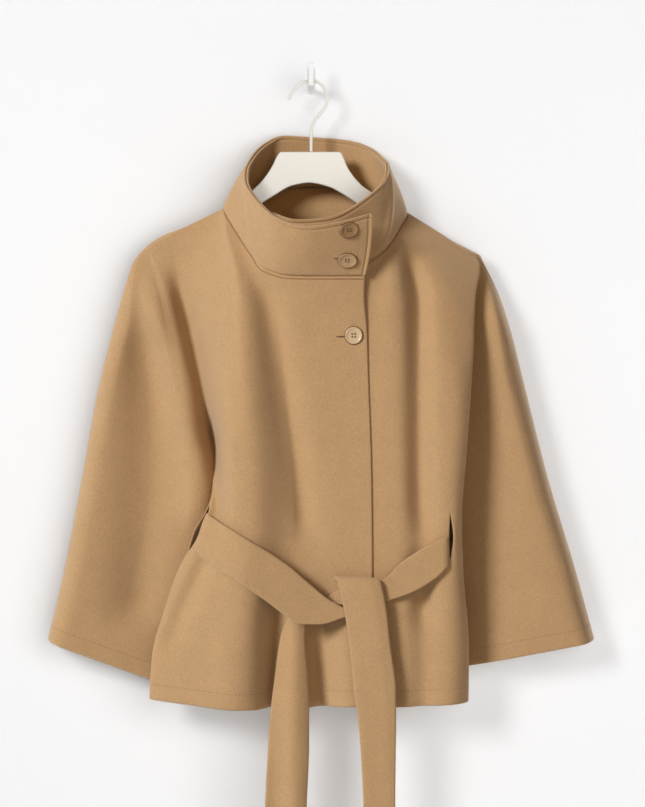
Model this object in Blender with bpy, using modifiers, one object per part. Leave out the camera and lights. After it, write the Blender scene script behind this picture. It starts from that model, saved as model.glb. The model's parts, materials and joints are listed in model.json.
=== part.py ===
"""A belted wool cape hung on a wooden hanger and a wall hook, at real size.

Run it with: blender --background --python part.py
+X is the viewer's right, +Y goes into the wall and +Z is up. The origin is on the wall, at
the middle of the wall hook's back face. The tables are in millimetres, and a mesh is in metres.
Names say left and right as the viewer sees them, apart from front_right and front_left,
which are the wearer's.
"""

import math

import bmesh
import bpy
import numpy as np
from mathutils import Matrix, Vector
from mathutils.bvhtree import BVHTree

MM = 0.001
WALL = 2.0  # thickness of the wool
BELT_WALL = 3.6  # the belt is folded double
LAP = 3.4  # how far the lower front lies behind the upper one
OVERARM_GAP = 1.4  # between the front's and the back's edges, which meet end to end
SEAM_SHIFT = 3.0  # the back's seam edges lie this far behind the front's
LEFT_UNDERARM = -607  # z
RIGHT_UNDERARM = -630

WOOL = ("camel wool", (0.53, 0.33, 0.17), 0.95, 0.0)
HORN = ("button", (0.42, 0.24, 0.11), 0.35, 0.0)
BOARD = ("cream board", (0.80, 0.76, 0.67), 0.45, 0.0)
WIRE = ("cream wire", (0.78, 0.75, 0.68), 0.3, 0.6)
PAINT = ("white paint", (0.85, 0.85, 0.85), 0.4, 0.0)

# Guide lines run down the cloth. Each row is a height: z, x, y.
OVERARM_LEFT = (
    (-263, -239, -37), (-331, -259, -37), (-416, -280, -37), (-542, -303, -37),
    (-668, -328, -37), (-743, -346, -37),
)
ARMHOLE_LEFT = (
    (-229, -211, -47), (-297, -184, -57), (-401, -158, -61), (-506, -133, -60),
    (-558, -128, -57), (-607, -134, -50),
)
SLEEVE_SEAM_LEFT = ((-607, -134, -50), (-630, -142, -48), (-700, -162, -47), (-803, -187, -46))
SIDE_SEAM_LEFT = (
    (-607, -134, -50), (-630, -124, -59), (-700, -150, -63), (-760, -178, -63), (-813, -192, -62),
)
SIDE_FOLD_LEFT = (
    (-211, -182, -48), (-297, -168, -58), (-427, -140, -63), (-500, -125, -67), (-550, -128, -78),
    (-573, -135, -84), (-598, -149, -84), (-622, -158, -83), (-646, -171, -82), (-704, -191, -80),
    (-756, -205, -79), (-815, -209, -77),
)
CREST_LEFT = (
    (-177, -115, -46), (-233, -110, -80), (-299, -108, -97), (-427, -104, -111),
    (-530, -105, -113), (-607, -113, -111), (-684, -127, -108), (-821, -146, -102),
)
CHEST_LEFT = (
    (-235, -78, -90), (-300, -84, -112), (-430, -77, -121), (-530, -70, -122),
    (-607, -73, -122), (-684, -84, -120), (-825, -98, -115),
)
LAP_LINE = (
    (-264, -47, -112), (-300, -43, -109), (-430, -34, -106), (-530, -24, -105),
    (-607, -22, -104), (-684, -30, -99), (-826, -36, -97),
)
PLACKET = (
    (-268, 68, -112), (-289, 67, -112), (-341, 72, -112), (-400, 74, -111), (-530, 78, -111),
    (-651, 79, -111), (-821, 78, -107),
)
CHEST_RIGHT = (
    (-225, 101, -92), (-264, 102, -106), (-300, 102, -112), (-430, 102, -115), (-530, 102, -114),
    (-684, 105, -112), (-822, 106, -108),
)
BREAST_RIGHT = (
    (-182, 125, -46), (-240, 148, -77), (-300, 174, -97), (-430, 182, -116),
    (-530, 178, -118), (-684, 178, -114), (-819, 178, -107),
)
FOLD_RIGHT = (
    (-236, 211, -48), (-250, 221, -52), (-292, 213, -78), (-376, 208, -96), (-498, 199, -103),
    (-581, 193, -103), (-643, 195, -98), (-747, 203, -90), (-817, 203, -85),
)
ARMHOLE_RIGHT = (
    (-241, 217, -47), (-290, 200, -54), (-375, 192, -58), (-500, 182, -59), (-580, 176, -57),
    (-630, 172, -50),
)
SLEEVE_SEAM_RIGHT = ((-630, 172, -50), (-655, 180, -48), (-720, 185, -47), (-778, 190, -46))
SIDE_SEAM_RIGHT = ((-630, 172, -50), (-652, 164, -60), (-720, 176, -65), (-815, 186, -66))
OVERARM_RIGHT = (
    (-244, 224, -37), (-286, 245, -37), (-333, 261, -37), (-404, 279, -37), (-534, 312, -37),
    (-647, 346, -37), (-742, 372, -37),
)

# The back's guides that the front doesn't have.
BACK_ARMHOLE = ((380, -26), (300, -17), (130, -17), (50, -30), (0, -47))  # above the underarm, y
BACK_LINES = (
    ((-182, -115, -30), (-215, -106, -21), (-300, -98, -17), (-500, -96, -17), (-607, -95, -30),
     (-700, -108, -40), (-824, -128, -42)),
    ((-158, -60, -16), (-300, -58, -14), (-607, -50, -15), (-824, -60, -19)),
    ((-147, 5, -13), (-300, 6, -13), (-607, 6, -14), (-824, 6, -16)),
    ((-158, 66, -16), (-300, 66, -14), (-607, 68, -15), (-824, 74, -19)),
    ((-187, 125, -30), (-220, 115, -21), (-300, 110, -17), (-500, 112, -17), (-607, 120, -28),
     (-700, 126, -40), (-824, 130, -44)),
)

# Guides between the overarm and the armhole: share of the way, at most this far (mm) from
# the overarm, the front's y, the back's y.
SLEEVE_LINES = (
    (0.10, 3, -47.5, -27.5),
    (0.25, 22, -63, -18),
    (0.50, 500, -57, -16),
    (0.84, 500, -49, -17),
)
RIGHT_SLEEVE_LINES = (
    (0.10, 3, -49, -27.5),
    (0.25, 22, -66, -18),
    (0.50, 500, -69, -16),
    (0.84, 500, -64, -17),
)

# The shoulder seams, from the neck outwards: x, y, z.
SHOULDER_LEFT = (
    (-115, -46, -177), (-153, -47, -196), (-192, -47, -215), (-224, -45, -239),
    (-236, -41, -256), (-239, -37, -263),
)
SHOULDER_RIGHT = (
    (125, -46, -182), (172, -47, -212), (212, -47, -238), (219, -43, -241), (224, -37, -244),
)

# The collar's sections, by the angle round the neck from the front: its seam, then its rim.
COLLAR = (
    # angle, seam x, y, z, rim x, y, z
    (-50, 70, -112, -268, 79, -128, -189),
    (-25, 35, -115, -268, 33, -141, -202.5),
    (0, -3, -116, -268, -6, -146, -208.5),
    (20, -33, -114, -267, -42, -138, -197),
    (35, -50, -111, -262, -67, -117, -173),
    (50, -63, -104, -256, -84, -91, -144),
    (65, -78, -90, -235, -84, -72, -128),
    (78, -99, -68, -205, -79, -57, -115),
    (90, -115, -46, -177, -70, -40, -100),
    (120, -92, -22, -158, -54, -24, -85),
    (150, -50, -14, -148, -35, -15, -76),
    (180, 5, -12, -145, 2, -12, -78),
    (210, 60, -14, -148, 50, -18, -83),
    (240, 102, -24, -161, 78, -29, -95),
    (270, 125, -46, -182, 93, -48, -111),
    (290, 113, -70, -205, 99, -62, -119),
    (305, 101, -86, -225, 99, -74, -129),
    (320, 84, -101, -241, 94, -88, -144),
    (335, 62, -107, -252, 74, -107, -165),
    (350, 22, -108, -257, 26, -127, -195),
    (370, -20, -106, -257, -18, -128, -198),
    (398, -50, -98, -252, -50, -116, -187),
)

# Folds: depth in mm into the garment, half width, then the line that it follows: z, x.
FOLDS = (
    (15, 34, ((-315, -234), (-400, -213), (-480, -212), (-740, -232))),  # hollow down the left sleeve
    (-19, 18, ((-262, -210), (-360, -188), (-427, -171), (-556, -149), (-610, -152))),  # its roll
    (21, 13, ((-240, -180), (-363, -152), (-427, -139), (-510, -128))),  # beside it
    (28, 7.5, ((-430, -140), (-491, -130), (-529, -125), (-560, -122), (-598, -127))),  # its depth
    (9, 9, ((-625, -132), (-642, -139), (-667, -149), (-692, -161), (-730, -175), (-765, -186))),
    (13, 15, ((-225, -80), (-350, -54), (-453, -36), (-556, -20), (-625, -12))),  # to the knot
    (24, 13, ((-640, -42), (-700, -48), (-840, -54))),  # beside the left tail
    (24, 18, ((-650, 12), (-700, 12), (-840, 14))),  # between the tails
    (23, 13, ((-215, 110), (-298, 134), (-556, 138), (-625, 146))),  # right of the placket
    (20, 16, ((-590, 128), (-650, 132), (-690, 136), (-745, 142))),  # under the right strand
    (7, 14, ((-640, 146), (-745, 145), (-830, 145))),
    (-4, 30, ((-300, 240), (-400, 262), (-560, 290), (-740, 320))),  # the right sleeve's roll
)
FOLD_START = 60  # a fold grows to its depth over this height
FOLD_END = 50  # and goes again over this one, if it ends above the hem
ENDS_AT_HEM = -800  # a fold's line that goes below this height runs to the hem
JOIN_FADE = 0.7  # how far below the underarm, in levels, the grids still follow the upper one
FITTED = 90  # the cloth is moved to its top seam over this height
FLAT_BELOW = -330  # the sleeves have their full depth below this height
BACK_FOLDS = (
    (-5, 22, ((-300, -40), (-560, -62), (-840, -80))),
    (-5, 24, ((-280, 62), (-560, 74), (-840, 92))),
    (-3, 18, ((-600, 10), (-840, 4))),
)

UPPER_LEVELS = np.linspace(0, 1, 13) ** 1.15
LOWER_LEVELS = np.linspace(1, 2, 7)
BACK_LEVELS = np.concatenate([[0.055], np.linspace(0.055, 1, 12)[1:]])
LEFT_SLEEVE = (1, 2, 2, 3, 2)  # columns from each guide to the next
FRONT_BODY = (3, 3, 2, 2, 5, 2, 2, 3, 3)
BACK_BODY = (2, 3, 3, 3, 3, 2)
RIGHT_SLEEVE = LEFT_SLEEVE[::-1]

SEAM_DROP = np.array((0, 0, -1.4))  # the fronts' tops lie below the collar's seam
BACK_SHIFT = np.array((0, 1.8, -0.6))  # and the back's top behind and below it
# The shoulder's turn to the back: how far behind and above the seam.
SHOULDER_TURN = ((1.8, 0.4), (4.5, 4.5), (10, 6), (17, 3))

COLLAR_COLUMNS = 38
COLLAR_ROWS = 4
COLLAR_BULGE = 3
NECK_CENTRE = (5, -70, 0)
COLLAR_PLY = 1.3  # each layer's middle is this far from the collar's
COLLAR_LIFT = 1.3  # the collar starts this far above its seam

# Stretches of the belt. Each row is a station along it: one edge's x, z, the other edge's
# x, z, and how far the belt stands off what is under it.
STRAND_LEFT = (
    (-132, -576, -148, -625, 6), (-88, -600, -111, -648, 5), (-31, -636, -59, -682, 5),
    (-5, -658, -33, -702, 6), (17, -677, -13, -714, 7), (41, -692, 40, -704, 7),
)
STRAND_RIGHT = (
    (178, -600, 178, -638, 1), (149, -613, 158, -654, 2), (116, -634, 134, -671, 2),
    (92, -657, 97, -684, 4), (60, -666, 70, -688, 5), (41, -666, 44, -687, 7),
    (20, -678, 22, -685, 8),
)
TAIL_LEFT = (
    (-31, -707, -9, -709, 2), (-39, -733, -9, -733, 5), (-48, -786, -4, -786, 10),
    (-51, -819, -2, -819, 12), (-55, -870, -2, -870, 12), (-59, -947, -5, -947, 12),
    (-63, -1085, -9, -1088, 12),
)
TAIL_RIGHT = (
    (35, -655, 90, -657, 15), (40, -684, 95, -684, 15), (50, -746, 102, -742, 9),
    (55, -800, 109, -800, 6), (60, -834, 109, -834, 6), (67, -948, 108, -948, 6),
    (70, -1100, 112, -1097, 6),
)
INSIDE_RUN = (
    # x, y, top z
    (-120, -74, -572), (-105, -60, -570), (-82, -44, -567), (-45, -29, -565),
    (5, -24, -565), (62, -27, -566), (96, -38, -568), (130, -55, -571), (158, -71, -576),
    (174, -84, -580),
)
BELT_WIDTH = 53
BELT_GAP = 1.2
HANG_BELOW = -812  # below this height the belt hangs straight down
BESIDE_Y = -90  # the belt's depth where no cloth is behind it

# Slits for the belt: top x, z, bottom x, z, and the way through the cloth.
SLITS = (
    ("slit_left", "front_right", (-139, -570), (-156, -621), (0.75, 0.66, 0)),
    ("slit_right", "front_left", (181, -571), (178, -619), (-0.3, 0.95, 0)),
)
SLIT_WIDTH = 7
SLIT_DEPTH = 16  # of the box that cuts it

# Buttons: name, x, z, radius.
BUTTONS = (
    ("button_collar_upper", 48.5, -212.5, 12.5),
    ("button_collar_lower", 46.5, -250, 12.5),
    ("button_front", 55, -345, 12),
)
BUTTON_PROFILE = (
    # in from the radius, height
    (1.2, 0), (0.2, 0.6), (0, 1.6), (0.3, 2.9), (1.0, 3.4), (2.0, 3.4), (3.2, 2.5),
)
HOLE_RADIUS = 1.1
HOLE_SPACING = 2.3
DISH_HEIGHT = 2.2  # the middle of a button's face
BUTTON_GAP = 0.5

# The hanger's outline, seen from the front: x, z.
BOARD_TOP = (
    (-221, -252), (-214, -241), (-192, -226), (-150, -205), (-115, -187), (-90, -163), (-71, -146),
    (-60, -134), (-51, -120), (-44, -106), (-40, -101.5), (38, -101.5), (41, -106), (47, -120),
    (56, -134), (66, -145), (80, -155), (105, -178), (125, -192), (165, -217), (196, -236),
    (204, -246),
)
BOARD_BOTTOM = (
    (203, -258), (194, -261), (160, -242), (115, -212), (80, -186), (58, -168), (41, -156.5),
    (22, -147), (-3, -142), (-26, -146), (-46, -157), (-65, -169), (-90, -188), (-115, -207),
    (-160, -230), (-196, -250), (-212, -259), (-219, -259),
)
BOARD_Y = -40
BOARD_THICKNESS = 9
BOARD_EDGE = 0.8  # its rounding
HOOK_LINE = (
    # x, z of the wire's middle
    (-29, -32), (-26, -24.5), (-19.5, -16.5), (-10.5, -10), (0, -7.4), (10.5, -10.5),
    (18, -19), (21, -31), (18.5, -42), (11, -52), (3.5, -62), (0.5, -73), (0, -86), (0, -101),
)
WIRE_RADIUS = 2.0
WIRE_GAP = 0.3  # the wire ends this far above the board

# The wall hook's side view: y, z. Its back face is on the wall.
HOOK_SIDE = (
    (0, 16), (-3, 16), (-3, -11.5), (-43, -11.5), (-45, -10.5), (-46, -8.5), (-46, 14), (-48, 15),
    (-50, 14), (-50, -10), (-47.5, -15), (-43, -16.5), (-6, -16.5), (-3, -19), (0, -19),
)
HOOK_WIDTH = 6


def smooth_through(knots, values, at):
    """Values at the places asked for, on a smooth curve through the knots that doesn't overshoot."""
    knots = np.asarray(knots, float)
    values = np.asarray(values, float).reshape(len(knots), -1)
    at = np.clip(np.atleast_1d(np.asarray(at, float)), knots[0], knots[-1])
    steps = np.diff(knots)[:, None]
    rises = np.diff(values, axis=0) / steps
    slopes = np.zeros_like(values)
    slopes[0], slopes[-1] = rises[0], rises[-1]
    before, after = rises[:-1], rises[1:]
    weight_a = 2 * steps[1:] + steps[:-1]
    weight_b = steps[1:] + 2 * steps[:-1]
    same_way = before * after > 0
    safe_before = np.where(same_way, before, 1)
    safe_after = np.where(same_way, after, 1)
    mean = (weight_a + weight_b) / (weight_a / safe_before + weight_b / safe_after)
    slopes[1:-1] = np.where(same_way, mean, 0)
    i = np.clip(np.searchsorted(knots, at, side="right") - 1, 0, len(knots) - 2)
    step = steps[i]
    t = (at - knots[i])[:, None] / step
    return (
        values[i] * (1 + 2 * t) * (1 - t) ** 2
        + slopes[i] * step * t * (1 - t) ** 2
        + values[i + 1] * t * t * (3 - 2 * t)
        + slopes[i + 1] * step * t * t * (t - 1)
    )


def ease(t):
    t = np.clip(t, 0, 1)
    return t * t * (3 - 2 * t)


def along(table, z):
    """x and y of a guide at these heights."""
    rows = np.asarray(table, float)
    return smooth_through(-rows[:, 0], rows[:, 1:], -np.asarray(z))


def heights(top, under, hem, levels):
    """z at levels that are 0 at the top, 1 at the underarm and 2 at the hem."""
    return np.where(levels <= 1, top + (under - top) * levels, under + (hem - under) * (levels - 1))


def guide(table, levels, under):
    z = heights(table[0][0], under, table[-1][0], levels)
    return np.column_stack([along(table, z), z])


def sleeve_guides(overarm, armhole, back, lines=SLEEVE_LINES):
    """Guides from the overarm up to the armhole, which isn't among them."""
    guides = [overarm]
    width = np.linalg.norm(armhole - overarm, axis=1)
    for share, most, front_y, back_y in lines:
        part = np.minimum(share, most / width)[:, None]
        line = overarm + part * (armhole - overarm)
        y = back_y if back else front_y
        near_top = 0.8 * ease((line[:, 2] - FLAT_BELOW) / 80)
        line[:, 1] = y + (line[:, 1] - y) * near_top
        guides.append(line)
    return guides


def across(guides, counts):
    """A grid with a row for each level and counts[i] columns from guide i to the next."""
    places = [0.0]
    for i, count in enumerate(counts):
        places += [i + (k + 1) / count for k in range(count)]
    levels = np.stack(guides, axis=1)
    return np.array([smooth_through(np.arange(len(guides)), row, places) for row in levels])


def seam_guides(levels, back):
    """Overarm and inner edge of the left sleeve, both sides of the body, then the right sleeve's."""
    below = levels[0] >= 1
    tables = [
        (OVERARM_LEFT, LEFT_UNDERARM),
        (SLEEVE_SEAM_LEFT if below else ARMHOLE_LEFT, LEFT_UNDERARM),
        (SIDE_SEAM_LEFT if below else ARMHOLE_LEFT, LEFT_UNDERARM),
        (SIDE_SEAM_RIGHT if below else ARMHOLE_RIGHT, RIGHT_UNDERARM),
        (SLEEVE_SEAM_RIGHT if below else ARMHOLE_RIGHT, RIGHT_UNDERARM),
        (OVERARM_RIGHT, RIGHT_UNDERARM),
    ]
    guides = [guide(table, levels, under) for table, under in tables]
    if back:
        guides[0][:, 1] += OVERARM_GAP
        guides[5][:, 1] += OVERARM_GAP
        drop = np.asarray(BACK_ARMHOLE, float)
        for line, (_, under) in list(zip(guides, tables))[1:5]:
            if below:
                line[:, 1] += SEAM_SHIFT
            else:
                line[:, 1] = smooth_through(-drop[:, 0], drop[:, 1], under - line[:, 2])[:, 0]
    return guides


def body_guides(levels, tables):
    unders = np.linspace(LEFT_UNDERARM, RIGHT_UNDERARM, len(tables) + 2)[1:-1]
    return [guide(table, levels, under) for table, under in zip(tables, unders)]


def cloth_strips(upper_levels, tables, body_counts, folds, back):
    """Grids of the whole width: above the underarm, then the left sleeve, body and right sleeve."""
    # How far each guide follows the folds. The lower grids meet at their seams, so 0 there.
    steady = [0, 0, 0.6, 1, 1, 0] + [1] * len(tables) + [0, 1, 1, 0.6, 0, 0]
    folding = [0, 0, 0.6] + [1] * (len(tables) + 6) + [0.6, 0, 0]
    ends = seam_guides(upper_levels, back)
    sleeve_left = sleeve_guides(ends[0], ends[1], back)
    sleeve_right = sleeve_guides(ends[5], ends[4], back, RIGHT_SLEEVE_LINES)[::-1]
    guides = sleeve_left + [ends[2]] + body_guides(upper_levels, tables) + [ends[3]] + sleeve_right
    upper = across(guides, LEFT_SLEEVE + body_counts + RIGHT_SLEEVE)

    ends = seam_guides(LOWER_LEVELS, back)
    sleeve_left = sleeve_guides(ends[0], ends[1], back) + [ends[1]]
    sleeve_right = [ends[4]] + sleeve_guides(ends[5], ends[4], back, RIGHT_SLEEVE_LINES)[::-1]
    body = [ends[2]] + body_guides(LOWER_LEVELS, tables) + [ends[3]]
    lower = [
        across(sleeve_left, LEFT_SLEEVE), across(body, body_counts),
        across(sleeve_right, RIGHT_SLEEVE),
    ]
    places = [0.0]
    for i, count in enumerate(LEFT_SLEEVE + body_counts + RIGHT_SLEEVE):
        places += [i + (k + 1) / count for k in range(count)]
    weight = smooth_through(np.arange(len(steady)), steady, places)[:, 0]
    upper_weight = smooth_through(np.arange(len(steady)), folding, places)[:, 0]
    start = 0
    fade = 1 - ease((LOWER_LEVELS - 1) / JOIN_FADE)
    top = upper[0, :, 2]
    upper = folded(upper, upper_weight, top, folds)
    strips = []
    for grid in lower:
        stop = start + grid.shape[1]
        plain = folded(grid, weight[start:stop], top[start:stop], folds)
        plain += fade[:, None, None] * (upper[-1, start:stop] - plain[0])[None]
        strips.append(plain)
        start = stop - 1
    return upper, strips


def folded(grid, weight, top, folds):
    """The grid with its folds pushed in. weight is 0 along a column that has to stay."""
    out = grid.copy()
    below_top = ease((top[None, :] - grid[:, :, 2]) / 45)
    out[:, :, 1] += fold_push(grid[:, :, 0], grid[:, :, 2], folds) * weight[None, :] * below_top
    return out


def fold_push(x, z, folds):
    push = np.zeros_like(x)
    for depth, width, line in folds:
        line = np.asarray(line, float)
        middle = smooth_through(-line[:, 0], line[:, 1], -z.ravel()).reshape(z.shape)
        share = ease((line[0, 0] - z) / FOLD_START)
        if line[-1, 0] > ENDS_AT_HEM:
            share = share * ease((z - line[-1, 0]) / FOLD_END)
        push += depth * share * np.exp(-(((x - middle) / width) ** 2))
    return push


def neck_curve(angles):
    table = np.asarray(COLLAR, float)
    return smooth_through(table[:, 0], table[:, 1:4], angles)


def shoulder_curve(table, x):
    """Points on a shoulder seam at these x."""
    points = np.asarray(sorted(table), float)
    return np.column_stack([x, smooth_through(points[:, 0], points[:, 1:], x)])


def fitted_top(grid, curve):
    """The grid moved near its top, so that its first row lies on the curve."""
    depth = grid[0, :, 2][None, :] - grid[:, :, 2]
    share = 1 - ease(depth / FITTED)
    return grid + share[:, :, None] * (curve - grid[0])[None]


def front_panels():
    """The grids of front_right and of front_left, three each."""
    tables = [
        SIDE_FOLD_LEFT, CREST_LEFT, CHEST_LEFT, LAP_LINE, PLACKET, CHEST_RIGHT, BREAST_RIGHT,
        FOLD_RIGHT,
    ]
    upper, (sleeve_left, body, sleeve_right) = cloth_strips(
        UPPER_LEVELS, tables, FRONT_BODY, FOLDS, False
    )
    first = sum(LEFT_SLEEVE)
    column = [first + sum(FRONT_BODY[:i]) for i in range(len(FRONT_BODY) + 1)]
    neck, lap, placket, breast = column[2], column[4], column[5], column[7]

    right = upper[:, : placket + 1]
    knots = [neck, column[3], lap, placket]
    angles = np.interp(np.arange(neck, placket + 1), knots, [90, 65, 30, -50])
    top = np.concatenate(
        [shoulder_curve(SHOULDER_LEFT, right[0, :neck, 0]), neck_curve(angles)]
    )
    right = fitted_top(right, top + SEAM_DROP)

    left = upper[:, lap:].copy()
    knots = [lap, placket, column[6], breast]
    angles = np.interp(np.arange(lap, breast + 1), knots, [398, 325, 305, 270])
    top = np.concatenate(
        [neck_curve(angles), shoulder_curve(SHOULDER_RIGHT, left[0, breast - lap + 1 :, 0])]
    )
    behind = LAP * (1 - ease((np.arange(lap, upper.shape[1]) - placket) / (breast - placket)))
    left[:, :, 1] += behind[None, :]
    left = fitted_top(left, top + SEAM_DROP)
    left_body = body[:, lap - first :].copy()
    left_body[:, :, 1] += behind[None, : left_body.shape[1]]
    return [right, sleeve_left, body[:, : placket - first + 1]], [left, left_body, sleeve_right]


def back_panel():
    upper, strips = cloth_strips(BACK_LEVELS, list(BACK_LINES), BACK_BODY, BACK_FOLDS, True)
    first = sum(LEFT_SLEEVE)
    neck_left, neck_right = first + BACK_BODY[0], first + sum(BACK_BODY[:-1])
    last = upper.shape[1] - 1
    columns = np.arange(last + 1)
    angles = np.interp(columns[neck_left : neck_right + 1], [neck_left, neck_right], [90, 270])
    top_x = across(
        seam_and_body_tops(), LEFT_SLEEVE + BACK_BODY + RIGHT_SLEEVE
    )[0, :, 0]
    seam = np.concatenate([
        shoulder_curve(SHOULDER_LEFT, top_x[:neck_left]),
        neck_curve(angles),
        shoulder_curve(SHOULDER_RIGHT, top_x[neck_right + 1 :]),
    ])
    turn = np.interp(
        columns,
        [0, 2, neck_left - 1, neck_left, neck_right, neck_right + 1, last - 2, last],
        [0, 1, 1, 0, 0, 1, 1, 0],
    )[:, None]
    edge = np.interp(columns, [0, 1, last - 1, last], [1, 0, 0, 1])[:, None]
    rows = []
    for i, over in enumerate(SHOULDER_TURN):
        share = i / len(SHOULDER_TURN)
        sideways = np.array((share, math.sqrt(share), share**1.5))
        plain = seam + BACK_SHIFT + sideways * (upper[0] - seam)
        free = turn * (seam + np.array((0, *over))) + (1 - turn) * plain
        down = seam + np.array((0, OVERARM_GAP, 0)) + share * (upper[0] - seam)
        rows.append(free * (1 - edge) + down * edge)
    return [np.concatenate([np.array(rows), upper]), *strips]


def seam_and_body_tops():
    """The first level of each of the back's guides, as a one-row set."""
    levels = np.array([0.0])
    ends = seam_guides(levels, True)
    return (
        sleeve_guides(ends[0], ends[1], True) + [ends[2]] + body_guides(levels, list(BACK_LINES))
        + [ends[3]] + sleeve_guides(ends[5], ends[4], True, RIGHT_SLEEVE_LINES)[::-1]
    )


def outward(grid):
    """Unit normals of a grid of points, to its front side."""
    down = np.gradient(grid, axis=0)
    right = np.gradient(grid, axis=1)
    normal = np.cross(right, down)
    return normal / np.maximum(np.linalg.norm(normal, axis=2, keepdims=True), 1e-9)


def collar_layer(move, top_drop):
    """A collar layer, moved out from the middle of the collar, from its seam to its rim."""
    table = np.asarray(COLLAR, float)
    angles = np.linspace(table[0, 0], table[-1, 0], COLLAR_COLUMNS + 1)
    points = smooth_through(table[:, 0], table[:, 1:], angles)
    seam, rim = points[:, :3], points[:, 3:]
    height = np.linalg.norm(rim - seam, axis=1, keepdims=True)
    away = seam - np.array(NECK_CENTRE)
    away[:, 2] = 0
    away /= np.linalg.norm(away, axis=1, keepdims=True)
    rows = []
    for share in np.linspace(0, 1, COLLAR_ROWS + 1):
        s = COLLAR_LIFT / height + share * (1 - (COLLAR_LIFT + top_drop) / height)
        rows.append(seam + s * (rim - seam) + COLLAR_BULGE * np.sin(math.pi * s) * away)
    grid = np.array(rows)
    normal = outward(grid)
    facing_out = np.sign((normal * away[None]).sum(axis=2, keepdims=True))
    return grid + move * normal * facing_out


def cloth_tree(grids):
    """A tree of the cloth's middle surface, to find its depth at an x and z."""
    points, faces = [], []
    for grid in grids:
        rows, columns = grid.shape[:2]
        start = len(points)
        points += [Vector(p) for p in grid.reshape(-1, 3)]
        for r in range(rows - 1):
            for c in range(columns - 1):
                i = start + r * columns + c
                faces.append((i, i + columns, i + columns + 1, i + 1))
    return BVHTree.FromPolygons(points, faces)


def on_cloth(tree, x, z):
    """The nearest point of the cloth to the viewer and its normal, or None."""
    place, normal, _, _ = tree.ray_cast(Vector((x, -500, z)), Vector((0, 1, 0)))
    if place is None:
        return None
    return place, (normal if normal.y < 0 else -normal)


def stretched(run, depth):
    """Depths along a run, pulled straight wherever a taut band would leave the cloth."""
    hull = [0]
    for i in range(1, len(run)):
        while len(hull) > 1:
            a, b = hull[-2], hull[-1]
            straight = depth[a] + (depth[i] - depth[a]) * (run[b] - run[a]) / (run[i] - run[a])
            if depth[b] < straight:
                break
            hull.pop()
        hull.append(i)
    return np.interp(run, run[hull], depth[hull])


def strand(tree, stations, steps):
    """A stretch of belt pulled tight over the cloth, five points across."""
    table = np.asarray(stations, float)
    run = np.concatenate([[0], np.cumsum(np.linalg.norm(np.diff(table[:, :2], axis=0), axis=1))])
    at = np.linspace(0, run[-1], steps + 1)
    grid = np.zeros((steps + 1, 5, 3))
    for r, (ax, az, bx, bz, lift) in enumerate(smooth_through(run, table, at)):
        for c in range(5):
            x, z = ax + (bx - ax) * c / 4, az + (bz - az) * c / 4
            found = on_cloth(tree, x, max(z, HANG_BELOW))
            y = found[0].y if found else BESIDE_Y
            grid[r, c] = (x, y - WALL / 2 - BELT_WALL / 2 - BELT_GAP - lift, z)
    for c in range(5):
        grid[:, c, 1] = stretched(at, grid[:, c, 1])
    for _ in range(2):
        across_belt = (grid[:, :-2, 1] + grid[:, 1:-1, 1] + grid[:, 2:, 1]) / 3
        grid[:, 1:-1, 1] = np.minimum(grid[:, 1:-1, 1], across_belt)
    return grid


def mesh_object(name, grids, thickness, recipe, parent):
    """Open grids, joined where their points meet, made into a wall with Solidify."""
    shape = bmesh.new()
    for grid in grids:
        rows, columns = grid.shape[:2]
        points = [[shape.verts.new(Vector(p) * MM) for p in row] for row in grid]
        for r in range(rows - 1):
            for c in range(columns - 1):
                corners = (
                    points[r][c], points[r + 1][c], points[r + 1][c + 1], points[r][c + 1],
                )
                shape.faces.new(corners)
    bmesh.ops.remove_doubles(shape, verts=shape.verts, dist=0.05 * MM)
    mesh = bpy.data.meshes.new(name)
    shape.to_mesh(mesh)
    shape.free()
    made = bpy.data.objects.new(name, mesh)
    bpy.context.scene.collection.objects.link(made)
    made.parent = parent
    mesh.materials.append(material_of(recipe))
    wall = made.modifiers.new("wall", "SOLIDIFY")
    wall.thickness = thickness * MM
    wall.offset = 0
    return made


def material_of(recipe):
    name, colour, roughness, metallic = recipe
    material = bpy.data.materials.get(name)
    if material is None:
        material = bpy.data.materials.new(name)
        material.use_nodes = True
        shader = material.node_tree.nodes["Principled BSDF"]
        shader.inputs["Base Color"].default_value = (*colour, 1)
        shader.inputs["Roughness"].default_value = roughness
        shader.inputs["Metallic"].default_value = metallic
        material.diffuse_color = (*colour, 1)
    return material


def cut(target, cutter, name):
    cutter.hide_render = True
    cutter.display_type = "WIRE"
    hole = target.modifiers.new(name, "BOOLEAN")
    hole.operation = "DIFFERENCE"
    hole.solver = "EXACT"
    hole.object = cutter


def cut_slit(tree, target, name, top, bottom, through, parent):
    x, z = (np.array(top) + np.array(bottom)) / 2
    place, _ = on_cloth(tree, x, z)
    length = math.dist(top, bottom)
    bpy.ops.mesh.primitive_cube_add(size=1)
    cutter = bpy.context.object
    cutter.name = name
    cutter.scale = (SLIT_WIDTH * MM, SLIT_DEPTH * MM, length * MM)
    inward = Vector(through).normalized()
    down = Vector((bottom[0] - top[0], 0, bottom[1] - top[1])).normalized()
    side = inward.cross(-down).normalized()
    frame = Matrix((side, inward, side.cross(inward))).transposed()
    cutter.rotation_euler = frame.to_euler()
    cutter.location = place * MM
    cutter.parent = parent
    cut(target, cutter, name)


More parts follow.
